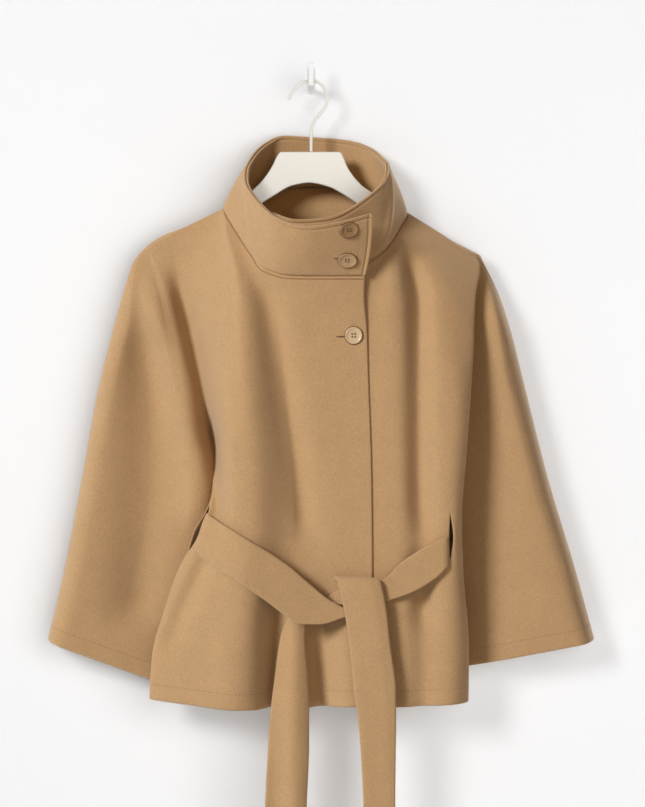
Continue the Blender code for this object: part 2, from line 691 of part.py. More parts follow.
def button(name, place, normal, radius, parent):
    shape = bmesh.new()
    points = [(0, 0)] + [(radius - inset, z) for inset, z in BUTTON_PROFILE] + [(0, DISH_HEIGHT)]
    points = [shape.verts.new((r * MM, 0, z * MM)) for r, z in points]
    for a, b in zip(points, points[1:]):
        shape.edges.new((a, b))
    mesh = bpy.data.meshes.new(name)
    shape.to_mesh(mesh)
    shape.free()
    mesh.materials.append(material_of(HORN))
    made = bpy.data.objects.new(name, mesh)
    bpy.context.scene.collection.objects.link(made)
    turn = made.modifiers.new("turn", "SCREW")
    turn.steps = turn.render_steps = 32
    turn.use_merge_vertices = True
    turn.merge_threshold = 0.00001
    turn.use_normal_flip = False
    made.rotation_euler = normal.to_track_quat("Z", "Y").to_euler()
    made.location = (place + normal * (WALL / 2 + BUTTON_GAP)) * MM
    made.parent = parent
    for i in range(4):
        angle = math.radians(45 + 90 * i)
        bpy.ops.mesh.primitive_cylinder_add(vertices=10, radius=HOLE_RADIUS * MM, depth=12 * MM)
        hole = bpy.context.object
        hole.name = f"{name}_hole_{i + 1}"
        hole.location = (
            HOLE_SPACING * math.cos(angle) * MM, HOLE_SPACING * math.sin(angle) * MM, 1.5 * MM,
        )
        hole.parent = made
        cut(made, hole, hole.name)
    return made


def hanger_board(parent):
    curve = bpy.data.curves.new("hanger_board", "CURVE")
    curve.dimensions = "2D"
    curve.fill_mode = "BOTH"
    curve.extrude = (BOARD_THICKNESS / 2 - BOARD_EDGE) * MM
    curve.bevel_depth = BOARD_EDGE * MM
    curve.bevel_resolution = 1
    line = curve.splines.new("POLY")
    outline = BOARD_TOP + BOARD_BOTTOM
    line.points.add(len(outline) - 1)
    for point, (x, z) in zip(line.points, outline):
        point.co = (x * MM, z * MM, 0, 1)
    line.use_cyclic_u = True
    curve.materials.append(material_of(BOARD))
    made = bpy.data.objects.new("hanger_board", curve)
    bpy.context.scene.collection.objects.link(made)
    made.rotation_euler = (math.radians(90), 0, 0)
    made.location = (0, BOARD_Y * MM, 0)
    made.parent = parent
    return made


def hanger_hook(parent):
    curve = bpy.data.curves.new("hanger_hook", "CURVE")
    curve.dimensions = "3D"
    curve.bevel_depth = WIRE_RADIUS * MM
    curve.bevel_resolution = 2
    curve.resolution_u = 3
    curve.use_fill_caps = True
    line = curve.splines.new("BEZIER")
    line.bezier_points.add(len(HOOK_LINE) - 1)
    for point, (x, z) in zip(line.bezier_points, HOOK_LINE):
        point.co = (x * MM, BOARD_Y * MM, z * MM)
        point.handle_left_type = point.handle_right_type = "AUTO"
    line.bezier_points[-1].co.z += WIRE_GAP * MM
    curve.materials.append(material_of(WIRE))
    made = bpy.data.objects.new("hanger_hook", curve)
    bpy.context.scene.collection.objects.link(made)
    made.parent = parent
    return made


def wall_hook(parent):
    curve = bpy.data.curves.new("wall_hook", "CURVE")
    curve.dimensions = "2D"
    curve.fill_mode = "BOTH"
    curve.extrude = HOOK_WIDTH / 2 * MM
    line = curve.splines.new("POLY")
    line.points.add(len(HOOK_SIDE) - 1)
    for point, (y, z) in zip(line.points, HOOK_SIDE):
        point.co = (y * MM, z * MM, 0, 1)
    line.use_cyclic_u = True
    curve.materials.append(material_of(PAINT))
    made = bpy.data.objects.new("wall_hook", curve)
    bpy.context.scene.collection.objects.link(made)
    made.rotation_euler = (math.radians(90), 0, math.radians(90))
    made.parent = parent
    return made


def main():
    for old in list(bpy.data.objects):
        bpy.data.objects.remove(old, do_unlink=True)
    cape = bpy.data.objects.new("cape", None)
    bpy.context.scene.collection.objects.link(cape)

    right, left = front_panels()
    front_right = mesh_object("front_right", right, WALL, WOOL, cape)
    front_left = mesh_object("front_left", left, WALL, WOOL, cape)
    mesh_object("back", back_panel(), WALL, WOOL, cape)
    outer = collar_layer(COLLAR_PLY, 0)
    mesh_object("collar_outer", [outer], WALL, WOOL, cape)
    mesh_object("collar_facing", [collar_layer(-COLLAR_PLY, 1.5)], WALL, WOOL, cape)

    fronts = cloth_tree(right + left)
    panels = {"front_right": front_right, "front_left": front_left}
    for name, panel, top, bottom, through in SLITS:
        cut_slit(fronts, panels[panel], name, top, bottom, through, cape)
    for name, stations, steps in (
        ("belt_strand_left", STRAND_LEFT, 14), ("belt_strand_right", STRAND_RIGHT, 12),
        ("belt_tail_left", TAIL_LEFT, 12), ("belt_tail_right", TAIL_RIGHT, 14),
    ):
        mesh_object(name, [strand(fronts, stations, steps)], BELT_WALL, WOOL, cape)
    run = np.asarray(INSIDE_RUN, float)
    bands = [run - np.array((0, 0, BELT_WIDTH * share)) for share in (0, 0.5, 1)]
    mesh_object("belt_inside", [np.array(bands)], BELT_WALL, WOOL, cape)

    for name, x, z, radius in BUTTONS:
        tree = fronts if name == "button_front" else cloth_tree([outer])
        place, normal = on_cloth(tree, x, z)
        button(name, place, normal, radius, cape)
    hanger_board(cape)
    hanger_hook(cape)
    wall_hook(cape)


main()
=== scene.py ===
"""The looks of the belted wool cape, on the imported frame. Tables are in millimetres.

The cloth is rebuilt from the same guide lines as the CAD, much finer, with its folds, seams,
topstitching and slits. Left and right are the viewer's, apart from front_right and
front_left, which are the wearer's.
"""

import json
import math

import bmesh
import bpy
import numpy as np
from mathutils import Matrix, Vector
from mathutils.bvhtree import BVHTree

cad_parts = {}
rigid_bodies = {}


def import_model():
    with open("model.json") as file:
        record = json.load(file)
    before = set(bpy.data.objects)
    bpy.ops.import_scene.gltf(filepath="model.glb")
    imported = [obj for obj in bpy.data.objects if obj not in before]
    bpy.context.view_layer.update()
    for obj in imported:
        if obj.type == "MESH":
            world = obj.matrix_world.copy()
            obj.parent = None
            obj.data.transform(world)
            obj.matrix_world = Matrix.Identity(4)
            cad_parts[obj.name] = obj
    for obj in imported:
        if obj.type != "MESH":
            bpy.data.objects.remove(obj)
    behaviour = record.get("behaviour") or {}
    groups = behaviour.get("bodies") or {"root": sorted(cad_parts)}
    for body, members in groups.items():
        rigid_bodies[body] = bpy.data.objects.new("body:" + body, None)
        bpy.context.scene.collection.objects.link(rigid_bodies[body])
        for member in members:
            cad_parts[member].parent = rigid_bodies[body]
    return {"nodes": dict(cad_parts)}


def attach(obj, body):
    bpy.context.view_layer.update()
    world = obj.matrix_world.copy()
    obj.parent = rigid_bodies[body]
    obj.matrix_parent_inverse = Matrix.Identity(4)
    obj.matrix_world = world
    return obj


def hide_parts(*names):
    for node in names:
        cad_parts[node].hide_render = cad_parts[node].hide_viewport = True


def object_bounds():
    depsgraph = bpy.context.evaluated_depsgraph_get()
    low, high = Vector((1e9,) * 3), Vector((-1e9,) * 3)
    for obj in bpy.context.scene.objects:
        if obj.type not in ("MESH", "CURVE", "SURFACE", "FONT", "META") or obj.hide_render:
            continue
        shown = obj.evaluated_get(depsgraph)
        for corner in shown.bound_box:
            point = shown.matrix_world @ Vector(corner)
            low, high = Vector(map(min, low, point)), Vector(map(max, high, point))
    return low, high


MM = 0.001
WALL = 2.0  # thickness of the wool
BELT_WALL = 3.8
BELT_WIDTH = 53
BELT_GAP = 1.0  # between the belt and the cloth under it
BELT_COLUMNS = 13
BELT_PASSES = 12  # that even out how far the belt stands off
HANG_BELOW = -812  # below this height the belt hangs straight down
BESIDE_Y = -90  # the belt's depth where no cloth is behind it
TUCK = (7, 14, -4)  # where the left strand's end lies inside, from its slit
DIVE_DEPTH = 2  # a strand's last stretch goes this far in towards its slit
DIVE_REACH = 8
SLIT_REACH = 4  # columns that move to part a slit's edges
LAP = 2.7  # how far the lower front lies behind the upper one
OVERARM_GAP = 0.5  # between the front's and the back's edges, which meet end to end
SEAM_SHIFT = 3.0  # the back's seam edges lie this far behind the front's
LEFT_UNDERARM = -607  # z
RIGHT_UNDERARM = -630
FRONT_RISE = np.array((0, 0, 1.5))  # the fronts' tops reach this far into the collar's seam
BACK_SHIFT = np.array((0, 0.8, -0.6))  # and the back's top lies behind and below it
RELAX = 2  # passes that even out a panel's depth
HEM_STITCHES = 21  # above the hem
NECK_STITCHES = 6.5  # below the collar's seam

# Guide lines run down the cloth. Each row is a height: z, x, y.
OVERARM_LEFT = (
    (-263, -239, -37), (-331, -259, -37), (-416, -280, -37), (-542, -303, -37),
    (-668, -328, -37), (-743, -346, -37),
)
ARMHOLE_LEFT = (
    (-229, -211, -47), (-297, -184, -57), (-401, -158, -61), (-506, -133, -60),
    (-558, -128, -57), (-607, -134, -50),
)
SLEEVE_SEAM_LEFT = ((-607, -134, -50), (-630, -142, -48), (-700, -162, -47), (-803, -187, -46))
SIDE_SEAM_LEFT = (
    (-607, -134, -50), (-630, -124, -59), (-700, -150, -63), (-760, -178, -63), (-813, -192, -62),
)
SIDE_FOLD_LEFT = (
    (-211, -182, -48), (-297, -168, -58), (-427, -140, -63), (-500, -125, -67), (-550, -128, -78),
    (-573, -135, -84), (-598, -149, -84), (-622, -158, -83), (-646, -171, -82), (-704, -191, -80),
    (-756, -205, -79), (-815, -209, -77),
)
CREST_LEFT = (
    (-177, -115, -46), (-233, -110, -80), (-299, -108, -97), (-427, -104, -111),
    (-530, -105, -113), (-607, -113, -111), (-684, -127, -108), (-821, -146, -102),
)
CHEST_LEFT = (
    (-235, -78, -90), (-300, -84, -112), (-430, -77, -121), (-530, -70, -122),
    (-607, -73, -122), (-684, -84, -120), (-825, -98, -115),
)
LAP_LINE = (
    (-264, -47, -112), (-300, -43, -109), (-430, -34, -106), (-530, -24, -105),
    (-607, -22, -104), (-684, -30, -99), (-826, -36, -97),
)
PLACKET = (
    (-268, 68, -112), (-289, 67, -112), (-341, 72, -112), (-400, 74, -111), (-530, 78, -111),
    (-651, 79, -111), (-821, 78, -107),
)
CHEST_RIGHT = (
    (-225, 101, -92), (-264, 102, -106), (-300, 102, -112), (-430, 102, -115), (-530, 102, -114),
    (-684, 105, -112), (-822, 106, -108),
)
BREAST_RIGHT = (
    (-182, 125, -46), (-240, 148, -77), (-300, 174, -97), (-430, 182, -116),
    (-530, 178, -118), (-684, 178, -114), (-819, 178, -107),
)
FOLD_RIGHT = (
    (-236, 211, -48), (-250, 221, -52), (-292, 213, -78), (-376, 208, -96), (-498, 199, -103),
    (-581, 193, -103), (-643, 195, -98), (-747, 203, -90), (-817, 203, -85),
)
ARMHOLE_RIGHT = (
    (-241, 217, -47), (-290, 200, -54), (-375, 192, -58), (-500, 182, -59), (-580, 176, -57),
    (-630, 172, -50),
)
SLEEVE_SEAM_RIGHT = ((-630, 172, -50), (-655, 180, -48), (-720, 185, -47), (-778, 190, -46))
SIDE_SEAM_RIGHT = ((-630, 172, -50), (-652, 164, -60), (-720, 176, -65), (-815, 186, -66))
OVERARM_RIGHT = (
    (-244, 224, -37), (-286, 245, -37), (-333, 261, -37), (-404, 279, -37), (-534, 312, -37),
    (-647, 346, -37), (-742, 372, -37),
)

# The back's guides that the front doesn't have.
BACK_ARMHOLE = ((380, -26), (300, -17), (130, -17), (50, -30), (0, -47))  # above the underarm, y
BACK_LINES = (
    ((-182, -115, -30), (-215, -106, -21), (-300, -98, -17), (-500, -96, -17), (-607, -95, -30),
     (-700, -108, -40), (-824, -128, -42)),
    ((-158, -60, -16), (-300, -58, -14), (-607, -50, -15), (-824, -60, -19)),
    ((-147, 5, -13), (-300, 6, -13), (-607, 6, -14), (-824, 6, -16)),
    ((-158, 66, -16), (-300, 66, -14), (-607, 68, -15), (-824, 74, -19)),
    ((-187, 125, -30), (-220, 115, -21), (-300, 110, -17), (-500, 112, -17), (-607, 120, -28),
     (-700, 126, -40), (-824, 130, -44)),
)

# Guides between the overarm and the armhole: share of the way, at most this far (mm) from
# the overarm, the front's y, the back's y.
SLEEVE_LINES = (
    (0.10, 3, -47.5, -27.5),
    (0.25, 22, -63, -18),
    (0.50, 500, -57, -16),
    (0.84, 500, -49, -17),
)
RIGHT_SLEEVE_LINES = (
    (0.10, 3, -50, -27.5),
    (0.25, 22, -74, -18),
    (0.50, 500, -71, -16),
    (0.84, 500, -61, -17),
)

# The shoulder seams, from the neck outwards: x, y, z.
SHOULDER_LEFT = (
    (-115, -46, -177), (-153, -47, -196), (-192, -47, -215), (-224, -45, -239),
    (-236, -41, -256), (-239, -37, -263),
)
SHOULDER_RIGHT = (
    (125, -46, -182), (172, -47, -212), (212, -47, -238), (219, -43, -241), (224, -37, -244),
)

# The shoulder's turn to the back: how far behind and above the seam.
SHOULDER_TURN = ((0.8, 0.2), (2.2, 2.8), (4.5, 4.5), (8, 5.8), (12, 5.4), (16, 3.4), (19, 0.6))
TURN_FROM_OVERARM = 6  # columns over which it grows, from either end
TURN_FROM_NECK = 5
STRAIGHT_COLUMNS = 3  # next to the overarm, where the top goes straight down

# The collar's sections, by the angle round the neck from the front: its seam, then its rim.
COLLAR = (
    # angle, seam x, y, z, rim x, y, z
    (-50, 70, -112, -268, 79, -128, -189),
    (-25, 35, -115, -268, 33, -141, -202.5),
    (0, -3, -116, -268, -6, -146, -208.5),
    (20, -33, -114, -267, -42, -138, -197),
    (35, -50, -111, -262, -67, -117, -173),
    (50, -63, -104, -256, -84, -91, -144),
    (65, -78, -90, -235, -84, -72, -128),
    (78, -99, -68, -205, -79, -57, -115),
    (90, -115, -46, -177, -70, -40, -100),
    (120, -92, -22, -158, -54, -24, -85),
    (150, -50, -14, -148, -35, -15, -76),
    (180, 5, -12, -145, 2, -12, -78),
    (210, 60, -14, -148, 50, -18, -83),
    (240, 102, -24, -161, 78, -29, -95),
    (270, 125, -46, -182, 93, -48, -111),
    (290, 113, -70, -205, 99, -62, -119),
    (305, 101, -86, -225, 99, -74, -129),
    (320, 84, -101, -241, 94, -88, -144),
    (335, 62, -107, -252, 74, -107, -165),
    (350, 22, -108, -257, 26, -127, -195),
    (370, -20, -106, -257, -18, -128, -198),
    (398, -50, -98, -252, -50, -116, -187),
)
# The angles round the neck where the guides of front_right and front_left start, and where
# the back's neck starts and ends.
RIGHT_NECK = (90, 65, 30, -50)
LEFT_NECK = (398, 325, 305, 270)
BACK_NECK = (90, 270)
COLLAR_CENTRE = np.array((5, -70, 0))
COLLAR_SAMPLES = 401
COLLAR_PASSES = 30  # that even out its seam and rim
COLLAR_CORNER = (3.5, 5)  # the rounded corner at its end: mm down, mm along
COLLAR_ROWS = 14
COLLAR_END = 12  # the column that the end's stitches follow
COLLAR_BULGE = 3
COLLAR_PLY = 1.75  # each layer's middle is this far from the collar's
COLLAR_WALL = 2.5
RIM_STITCHES = 5.2  # mm below the rim, where a line of stitches presses the collar in
END_STITCHES = 6.8  # mm from the wrapped end, the same
# Rows near the rim: mm below it.
RIM_ROWS = (9, 7.6, 6.4, 5.6, 4.8, 4.0, 3.2, 2.2, 1.1, 0)
# Creases up the collar: the angle at the seam, at the rim, half width in degrees, mm outwards.
CREASES = ((50, 50, 5, 2.6), (317, 300, 5, 2.6), (68, 72, 9, -1.5))

# Folds: depth in mm into the garment, half width, then the line that it follows: z, x.
FOLDS = (
    (15, 34, ((-315, -234), (-400, -213), (-480, -212), (-740, -232))),  # hollow down the left sleeve
    (-19, 18, ((-262, -210), (-360, -188), (-427, -171), (-556, -149), (-610, -152))),  # its roll
    (21, 13, ((-240, -180), (-363, -152), (-427, -139), (-510, -128))),  # beside it
    (28, 9, ((-430, -138), (-491, -127), (-529, -121.5), (-560, -119), (-605, -124))),  # its depth
    (13, 8, ((-590, -126), (-642, -139), (-667, -149), (-692, -161), (-730, -175), (-765, -186))),
    (15, 13, ((-225, -76), (-350, -45), (-453, -27), (-556, -11), (-625, -3))),  # to the knot
    (32, 11, ((-640, -38), (-700, -44), (-840, -49))),  # beside the left tail
    (24, 18, ((-650, 12), (-700, 12), (-840, 14))),  # between the tails
    (23, 11, ((-215, 114), (-298, 138), (-556, 141), (-625, 148))),  # right of the placket
    (14, 12, ((-590, 138), (-650, 140), (-690, 144), (-735, 147))),  # under the right strand
    (7, 14, ((-640, 146), (-745, 145), (-830, 145))),
    (-4, 30, ((-300, 240), (-400, 262), (-560, 290), (-740, 320))),  # the right sleeve's roll
)
FOLD_TOP = 45  # below a panel's top edge, the height over which its folds appear
FOLD_START = 60  # a fold grows to its depth over this height
FOLD_END = 50  # and goes again over this one, if it ends above the hem
ENDS_AT_HEM = -800  # a fold's line that goes below this height runs to the hem
JOIN_FADE = 0.7  # how far below the underarm, in levels, the grids still follow the upper one
FITTED = 90  # the cloth is moved to its top seam over this height
FLAT_BELOW = -330  # the sleeves have their full depth below this height
BACK_FOLDS = (
    (-5, 22, ((-300, -40), (-560, -62), (-840, -80))),
    (-5, 24, ((-280, 62), (-560, 74), (-840, 92))),
    (-3, 18, ((-600, 10), (-840, 4))),
)

UPPER_LEVELS = np.linspace(0, 1, 54) ** 1.1
LOWER_LEVELS = np.linspace(1, 2, 26)
BACK_LEVELS = np.concatenate([[0.055], np.linspace(0.055, 1, 50)[1:]])
LEFT_SLEEVE = (3, 6, 10, 14, 7)  # columns from each guide to the next
FRONT_BODY = (8, 11, 8, 8, 18, 7, 20, 12, 8)
BACK_BODY = (7, 9, 10, 10, 9, 7)
RIGHT_SLEEVE = LEFT_SLEEVE[::-1]

# Stretches of the belt. Each row is a station along it: one edge's x, z, the other edge's
# x, z, and how far the belt stands off what is under it.
STRAND_LEFT = (
    (-135.5, -572, -151.5, -621, 3), (-128, -576.5, -143.5, -627.5, 4), (-88, -600, -111, -648, 4),
    (-31, -636, -59, -682, 5), (-5, -658, -33, -702, 6), (17, -677, -13, -714, 7),
    (30, -686, 14, -714, 6), (43, -693, 42, -705, 6), (54, -697, 52, -703, 4),
)
STRAND_RIGHT = (
    (175.5, -600.5, 176.5, -638, 1), (170, -603, 171, -644, 2), (149, -613, 158, -656, 3),
    (116, -634, 134, -671, 3), (92, -657, 97, -684, 3), (60, -666, 70, -688, 2),
    (41, -668, 44, -690, 2), (20, -681, 22, -688, 2),
)
TAIL_LEFT = (
    (-27, -704, -6, -706, -2), (-33, -716, -7, -716, 3), (-39, -733, -8, -733, 6),
    (-46, -780, -4, -780, 10), (-51, -819, -2, -819, 12), (-55, -870, -2, -870, 12),
    (-59, -947, -5, -947, 12), (-63, -1085, -9, -1088, 12),
)
TAIL_RIGHT = (
    (34, -659, 90, -661, 13), (40, -684, 95, -684, 12), (50, -746, 102, -742, 4),
    (55, -800, 109, -800, 2), (60, -834, 109, -834, 2), (67, -948, 108, -948, 2),
    (70, -1100, 112, -1097, 2),
)
INSIDE_RUN = (
    # x, y, top z
    (-120, -74, -572), (-105, -60, -570), (-82, -44, -567), (-45, -29, -565),
    (5, -24, -565), (62, -27, -566), (96, -38, -568), (130, -55, -571), (158, -71, -576),
    (174, -84, -580),
)

# Slits for the belt: top z, bottom z, how far the left and the right edge move.
LEFT_SLIT = (-563, -624, ((-2.5, 1.5, 0), (8, 1.5, 0)))
RIGHT_SLIT = (-577, -629, ((-1, 1.5, 0), (4, 0.5, 0)))
RIGHT_SLIT_AT = (178, -595)  # x, z

# Stitches: length, pitch, width.
TOPSTITCH = (3.0, 4.4, 0.7)
NECK_STITCH = (3.0, 4.0, 0.8)
# A continuous dark band along the neck's stitches: painted shade of the groove under the collar's
# seam.
NECK_DITCH_SHADE = (4.0, 3.0, 1.9)

# Buttons: name, x, z, radius, height as a share of the width, tilt in degrees, finish. The finishes'
# tones are partly the horn's own variation and partly painted light and shade, the front button paler
# where it catches the light.
BUTTONS = (
    ("button_collar_upper", 48.5, -212.5, 13.2, 0.78, 14, "dark_button"),
    ("button_collar_lower", 46.5, -250, 13.2, 0.78, -4, "tan_button"),
    ("button_front", 55, -345, 12, 1.0, 0, "pale_button"),
)
# A button's section: share of its radius, height in mm.
BUTTON_SECTION = (
    (0, 1.4), (0.55, 1.4), (0.65, 1.5), (0.72, 1.9), (0.79, 2.3), (0.86, 2.3), (0.91, 2.0),
    (0.95, 1.6), (1.0, 0.9), (0.97, 0.3), (0.90, 0.0), (0.0, 0.0),
)
# Past this share a button's edge is dark: partly the horn's own darker edge, partly painted contact
# shadow round the button.
DARK_FROM = 0.90  # share of the radius where a button's dark edge starts
HOLES_AT = 2.6  # a button's holes from its middle
HOLE_RADIUS = 1.25
BUTTON_TURNS = 64

# Buttonholes: the left end's x, the right end's x, z.
BUTTONHOLES = (
    ("buttonhole_collar", 27, 38, -247.5),
    ("buttonhole_front", 33, 46, -346.5),
)

# The hanger's outline, seen from the front: x, z.
BOARD_TOP = (
    (-221, -252), (-214, -241), (-192, -226), (-150, -205), (-115, -187), (-90, -163), (-71, -146),
    (-60, -134), (-51, -120), (-44, -106), (-40, -101.5), (38, -101.5), (41, -106), (47, -120),
    (56, -134), (66, -145), (80, -155), (105, -178), (125, -192), (165, -217), (196, -236),
    (204, -246),
)
BOARD_BOTTOM = (
    (203, -258), (194, -261), (160, -242), (115, -212), (80, -186), (58, -168), (41, -156.5),
    (22, -147), (-3, -142), (-26, -146), (-46, -157), (-65, -169), (-90, -188), (-115, -207),
    (-160, -230), (-196, -250), (-212, -259), (-219, -259),
)
BOARD_Y = -40
BOARD_THICKNESS = 9
BOARD_EDGE = 1.6  # its rounding

# Finishes: colour, roughness, scale of the unevenness, how much darker its dark parts are.
FINISHES = {
    # thread: darker than the wool, as painted shade of the groove that the stitches sink into.
    "thread": ((0.24, 0.13, 0.055), 0.8, 200, 0.04),
    # A dark band of painted shade along the groove under the collar's seam.
    "ditch_shade": ((0.32, 0.18, 0.08), 0.95, 200, 0.04),
    # Three tones for one horn: partly its own variation, partly painted light and shade, paler on the
    # front button that faces the light.
    "dark_button": ((0.33, 0.19, 0.085), 0.35, 90, 0.2),
    "tan_button": ((0.47, 0.305, 0.155), 0.35, 90, 0.2),
    "pale_button": ((0.58, 0.42, 0.25), 0.38, 90, 0.15),
    # button_edge_and_shade: the horn's darker edge, and painted shade round the button, in its holes
    # and behind them.
    "button_edge_and_shade": ((0.15, 0.07, 0.025), 0.5, 200, 0.04),
    "cream_paint": ((0.86, 0.82, 0.74), 0.4, 200, 0.01),
    "cream_wire": ((0.82, 0.79, 0.72), 0.3, 200, 0.01),
    "white_paint": ((0.88, 0.88, 0.88), 0.35, 200, 0.01),
    "hole_shadow": ((0.03, 0.018, 0.01), 0.9, 200, 0.04),
}
WOOL_DARK = (0.365, 0.218, 0.098)
WOOL_LIGHT = (0.500, 0.315, 0.156)

# The stage, the camera and the lights, in metres.
FLOOR_SIDE = 9  # and the wall's width
FLOOR_DROP = 0.35  # the floor lies this far below the cape
WALL_HEIGHT = 4.4
SENSOR = 36  # mm
CAMERA_DISTANCE = 2.6
VIEW_MIDDLE = Vector((0.015, -0.07, -0.432))
VIEW_HEIGHT = 1.049  # what the picture takes in at that point
LIGHT_AIM = Vector((0, -0.05, -0.5))
WORLD = 0.06  # strength
LIGHTS = (
    # name, place, size, colour, power, what it lights
    ("key", (-5.4, -5.2, 2.6), 2.6, (1, 1, 1), 690, "cape"),
    ("fill", (1.0, -3.2, 0.2), 2.5, (1, 0.68, 0.38), 18, "cape"),
    ("backdrop_key", (-1.6, -2.7, 0.6), 1.0, (1, 1, 1), 40, "wall"),
    ("backdrop_fill", (1.3, -3.1, -0.6), 3.5, (1, 1, 1), 88, "wall"),
    ("behind", (2.6, 3.6, 1.4), 1.0, (1, 1, 1), 130, "cape"),
)


def smooth_through(knots, values, at):
    """Values at the places asked for, on a smooth curve through the knots that doesn't overshoot."""
    knots = np.asarray(knots, float)
    values = np.asarray(values, float).reshape(len(knots), -1)
    at = np.clip(np.atleast_1d(np.asarray(at, float)), knots[0], knots[-1])
    steps = np.diff(knots)[:, None]
    rises = np.diff(values, axis=0) / steps
    slopes = np.zeros_like(values)
    slopes[0], slopes[-1] = rises[0], rises[-1]
    before, after = rises[:-1], rises[1:]
    weight_a = 2 * steps[1:] + steps[:-1]
    weight_b = steps[1:] + 2 * steps[:-1]
    same_way = before * after > 0
    safe_before = np.where(same_way, before, 1)
    safe_after = np.where(same_way, after, 1)
    mean = (weight_a + weight_b) / (weight_a / safe_before + weight_b / safe_after)
    slopes[1:-1] = np.where(same_way, mean, 0)
    i = np.clip(np.searchsorted(knots, at, side="right") - 1, 0, len(knots) - 2)
    step = steps[i]
    t = (at - knots[i])[:, None] / step
    return (
        values[i] * (1 + 2 * t) * (1 - t) ** 2
        + slopes[i] * step * t * (1 - t) ** 2
        + values[i + 1] * t * t * (3 - 2 * t)
        + slopes[i + 1] * step * t * t * (t - 1)
    )


def run_along(points):
    """How far each point lies along the line through them."""
    return np.concatenate([[0], np.cumsum(np.linalg.norm(np.diff(points, axis=0), axis=1))])


def ease(t):
    """From 0 to 1 as t does, with a soft start and end."""
    t = np.clip(t, 0, 1)
    return t * t * (3 - 2 * t)


def along(table, z):
    """x and y of a guide at these heights."""
    rows = np.asarray(table, float)
    return smooth_through(-rows[:, 0], rows[:, 1:], -np.asarray(z))


def heights(top, under, hem, levels):
    """z at levels that are 0 at the top, 1 at the underarm and 2 at the hem."""
    return np.where(levels <= 1, top + (under - top) * levels, under + (hem - under) * (levels - 1))


def guide(table, levels, under):
    """Points down a guide, for levels 0 at its top, 1 at the underarm's height and 2 at its hem."""
    z = heights(table[0][0], under, table[-1][0], levels)
    return np.column_stack([along(table, z), z])


def sleeve_guides(overarm, armhole, back, lines):
    """Guides from the overarm up to the armhole, which isn't among them."""
    guides = [overarm]
    width = np.linalg.norm(armhole - overarm, axis=1)
    for share, most, front_y, back_y in lines:
        part = np.minimum(share, most / width)[:, None]
        line = overarm + part * (armhole - overarm)
        y = back_y if back else front_y
        near_top = 0.8 * ease((line[:, 2] - FLAT_BELOW) / 80)
        line[:, 1] = y + (line[:, 1] - y) * near_top
        guides.append(line)
    return guides


def column_places(counts):
    """Where the columns lie, with each guide's at its own number."""
    return [0.0] + [i + (k + 1) / count for i, count in enumerate(counts) for k in range(count)]


def across(guides, counts):
    """A grid with a row for each level and counts[i] columns from guide i to the next."""
    levels = np.stack(guides, axis=1)
    places = column_places(counts)
    return np.array([smooth_through(np.arange(len(guides)), row, places) for row in levels])


def seam_guides(levels, back):
    """Overarm and inner edge of the left sleeve, both sides of the body, then the right sleeve's."""
    below = levels[0] >= 1
    tables = [
        (OVERARM_LEFT, LEFT_UNDERARM),
        (SLEEVE_SEAM_LEFT if below else ARMHOLE_LEFT, LEFT_UNDERARM),
        (SIDE_SEAM_LEFT if below else ARMHOLE_LEFT, LEFT_UNDERARM),
        (SIDE_SEAM_RIGHT if below else ARMHOLE_RIGHT, RIGHT_UNDERARM),
        (SLEEVE_SEAM_RIGHT if below else ARMHOLE_RIGHT, RIGHT_UNDERARM),
        (OVERARM_RIGHT, RIGHT_UNDERARM),
    ]
    guides = [guide(table, levels, under) for table, under in tables]
    if back:
        guides[0][:, 1] += OVERARM_GAP
        guides[5][:, 1] += OVERARM_GAP
        drop = np.asarray(BACK_ARMHOLE, float)
        for line, (_, under) in list(zip(guides, tables))[1:5]:
            if below:
                line[:, 1] += SEAM_SHIFT
            else:
                line[:, 1] = smooth_through(-drop[:, 0], drop[:, 1], under - line[:, 2])[:, 0]
    return guides


def guide_sets(levels, tables, back):
    """The guides of the left sleeve, the body and the right sleeve, all from left to right."""
    ends = seam_guides(levels, back)
    left = sleeve_guides(ends[0], ends[1], back, SLEEVE_LINES) + [ends[1]]
    right = sleeve_guides(ends[5], ends[4], back, RIGHT_SLEEVE_LINES) + [ends[4]]
    unders = np.linspace(LEFT_UNDERARM, RIGHT_UNDERARM, len(tables) + 2)[1:-1]
    body = [guide(table, levels, under) for table, under in zip(tables, unders)]
    return left, [ends[2], *body, ends[3]], right[::-1]


def whole_width(levels, tables, counts, back):
    """A grid of the whole width above the underarm, where sleeves and body are in one piece."""
    left, body, right = guide_sets(levels, tables, back)
    return across(left[:-1] + body + right[1:], LEFT_SLEEVE + counts + RIGHT_SLEEVE)


def cloth_strips(upper_levels, tables, counts, folds, back):
    """Grids of the whole width: above the underarm, then the left sleeve, body and right sleeve."""
    # How far each guide follows the folds. The lower grids meet at their seams, so 0 there.
    steady = [0, 0, 0.6, 1, 1, 0] + [1] * len(tables) + [0, 1, 1, 0.6, 0, 0]
    folding = [0, 0, 0.6] + [1] * (len(tables) + 6) + [0.6, 0, 0]
    places = column_places(LEFT_SLEEVE + counts + RIGHT_SLEEVE)
    weight, upper_weight = (
        smooth_through(np.arange(len(shares)), shares, places)[:, 0] for shares in (steady, folding)
    )
    upper = whole_width(upper_levels, tables, counts, back)
    top = upper[0, :, 2]
    upper = folded(upper, upper_weight, top, folds)
    fade = 1 - ease((LOWER_LEVELS - 1) / JOIN_FADE)
    strips = []
    start = 0
    sets = guide_sets(LOWER_LEVELS, tables, back)
    for guides, strip_counts in zip(sets, (LEFT_SLEEVE, counts, RIGHT_SLEEVE)):
        grid = across(guides, strip_counts)
        stop = start + grid.shape[1]
        plain = folded(grid, weight[start:stop], top[start:stop], folds)
        plain += fade[:, None, None] * (upper[-1, start:stop] - plain[0])[None]
        strips.append(plain)
        start = stop - 1
    return upper, strips


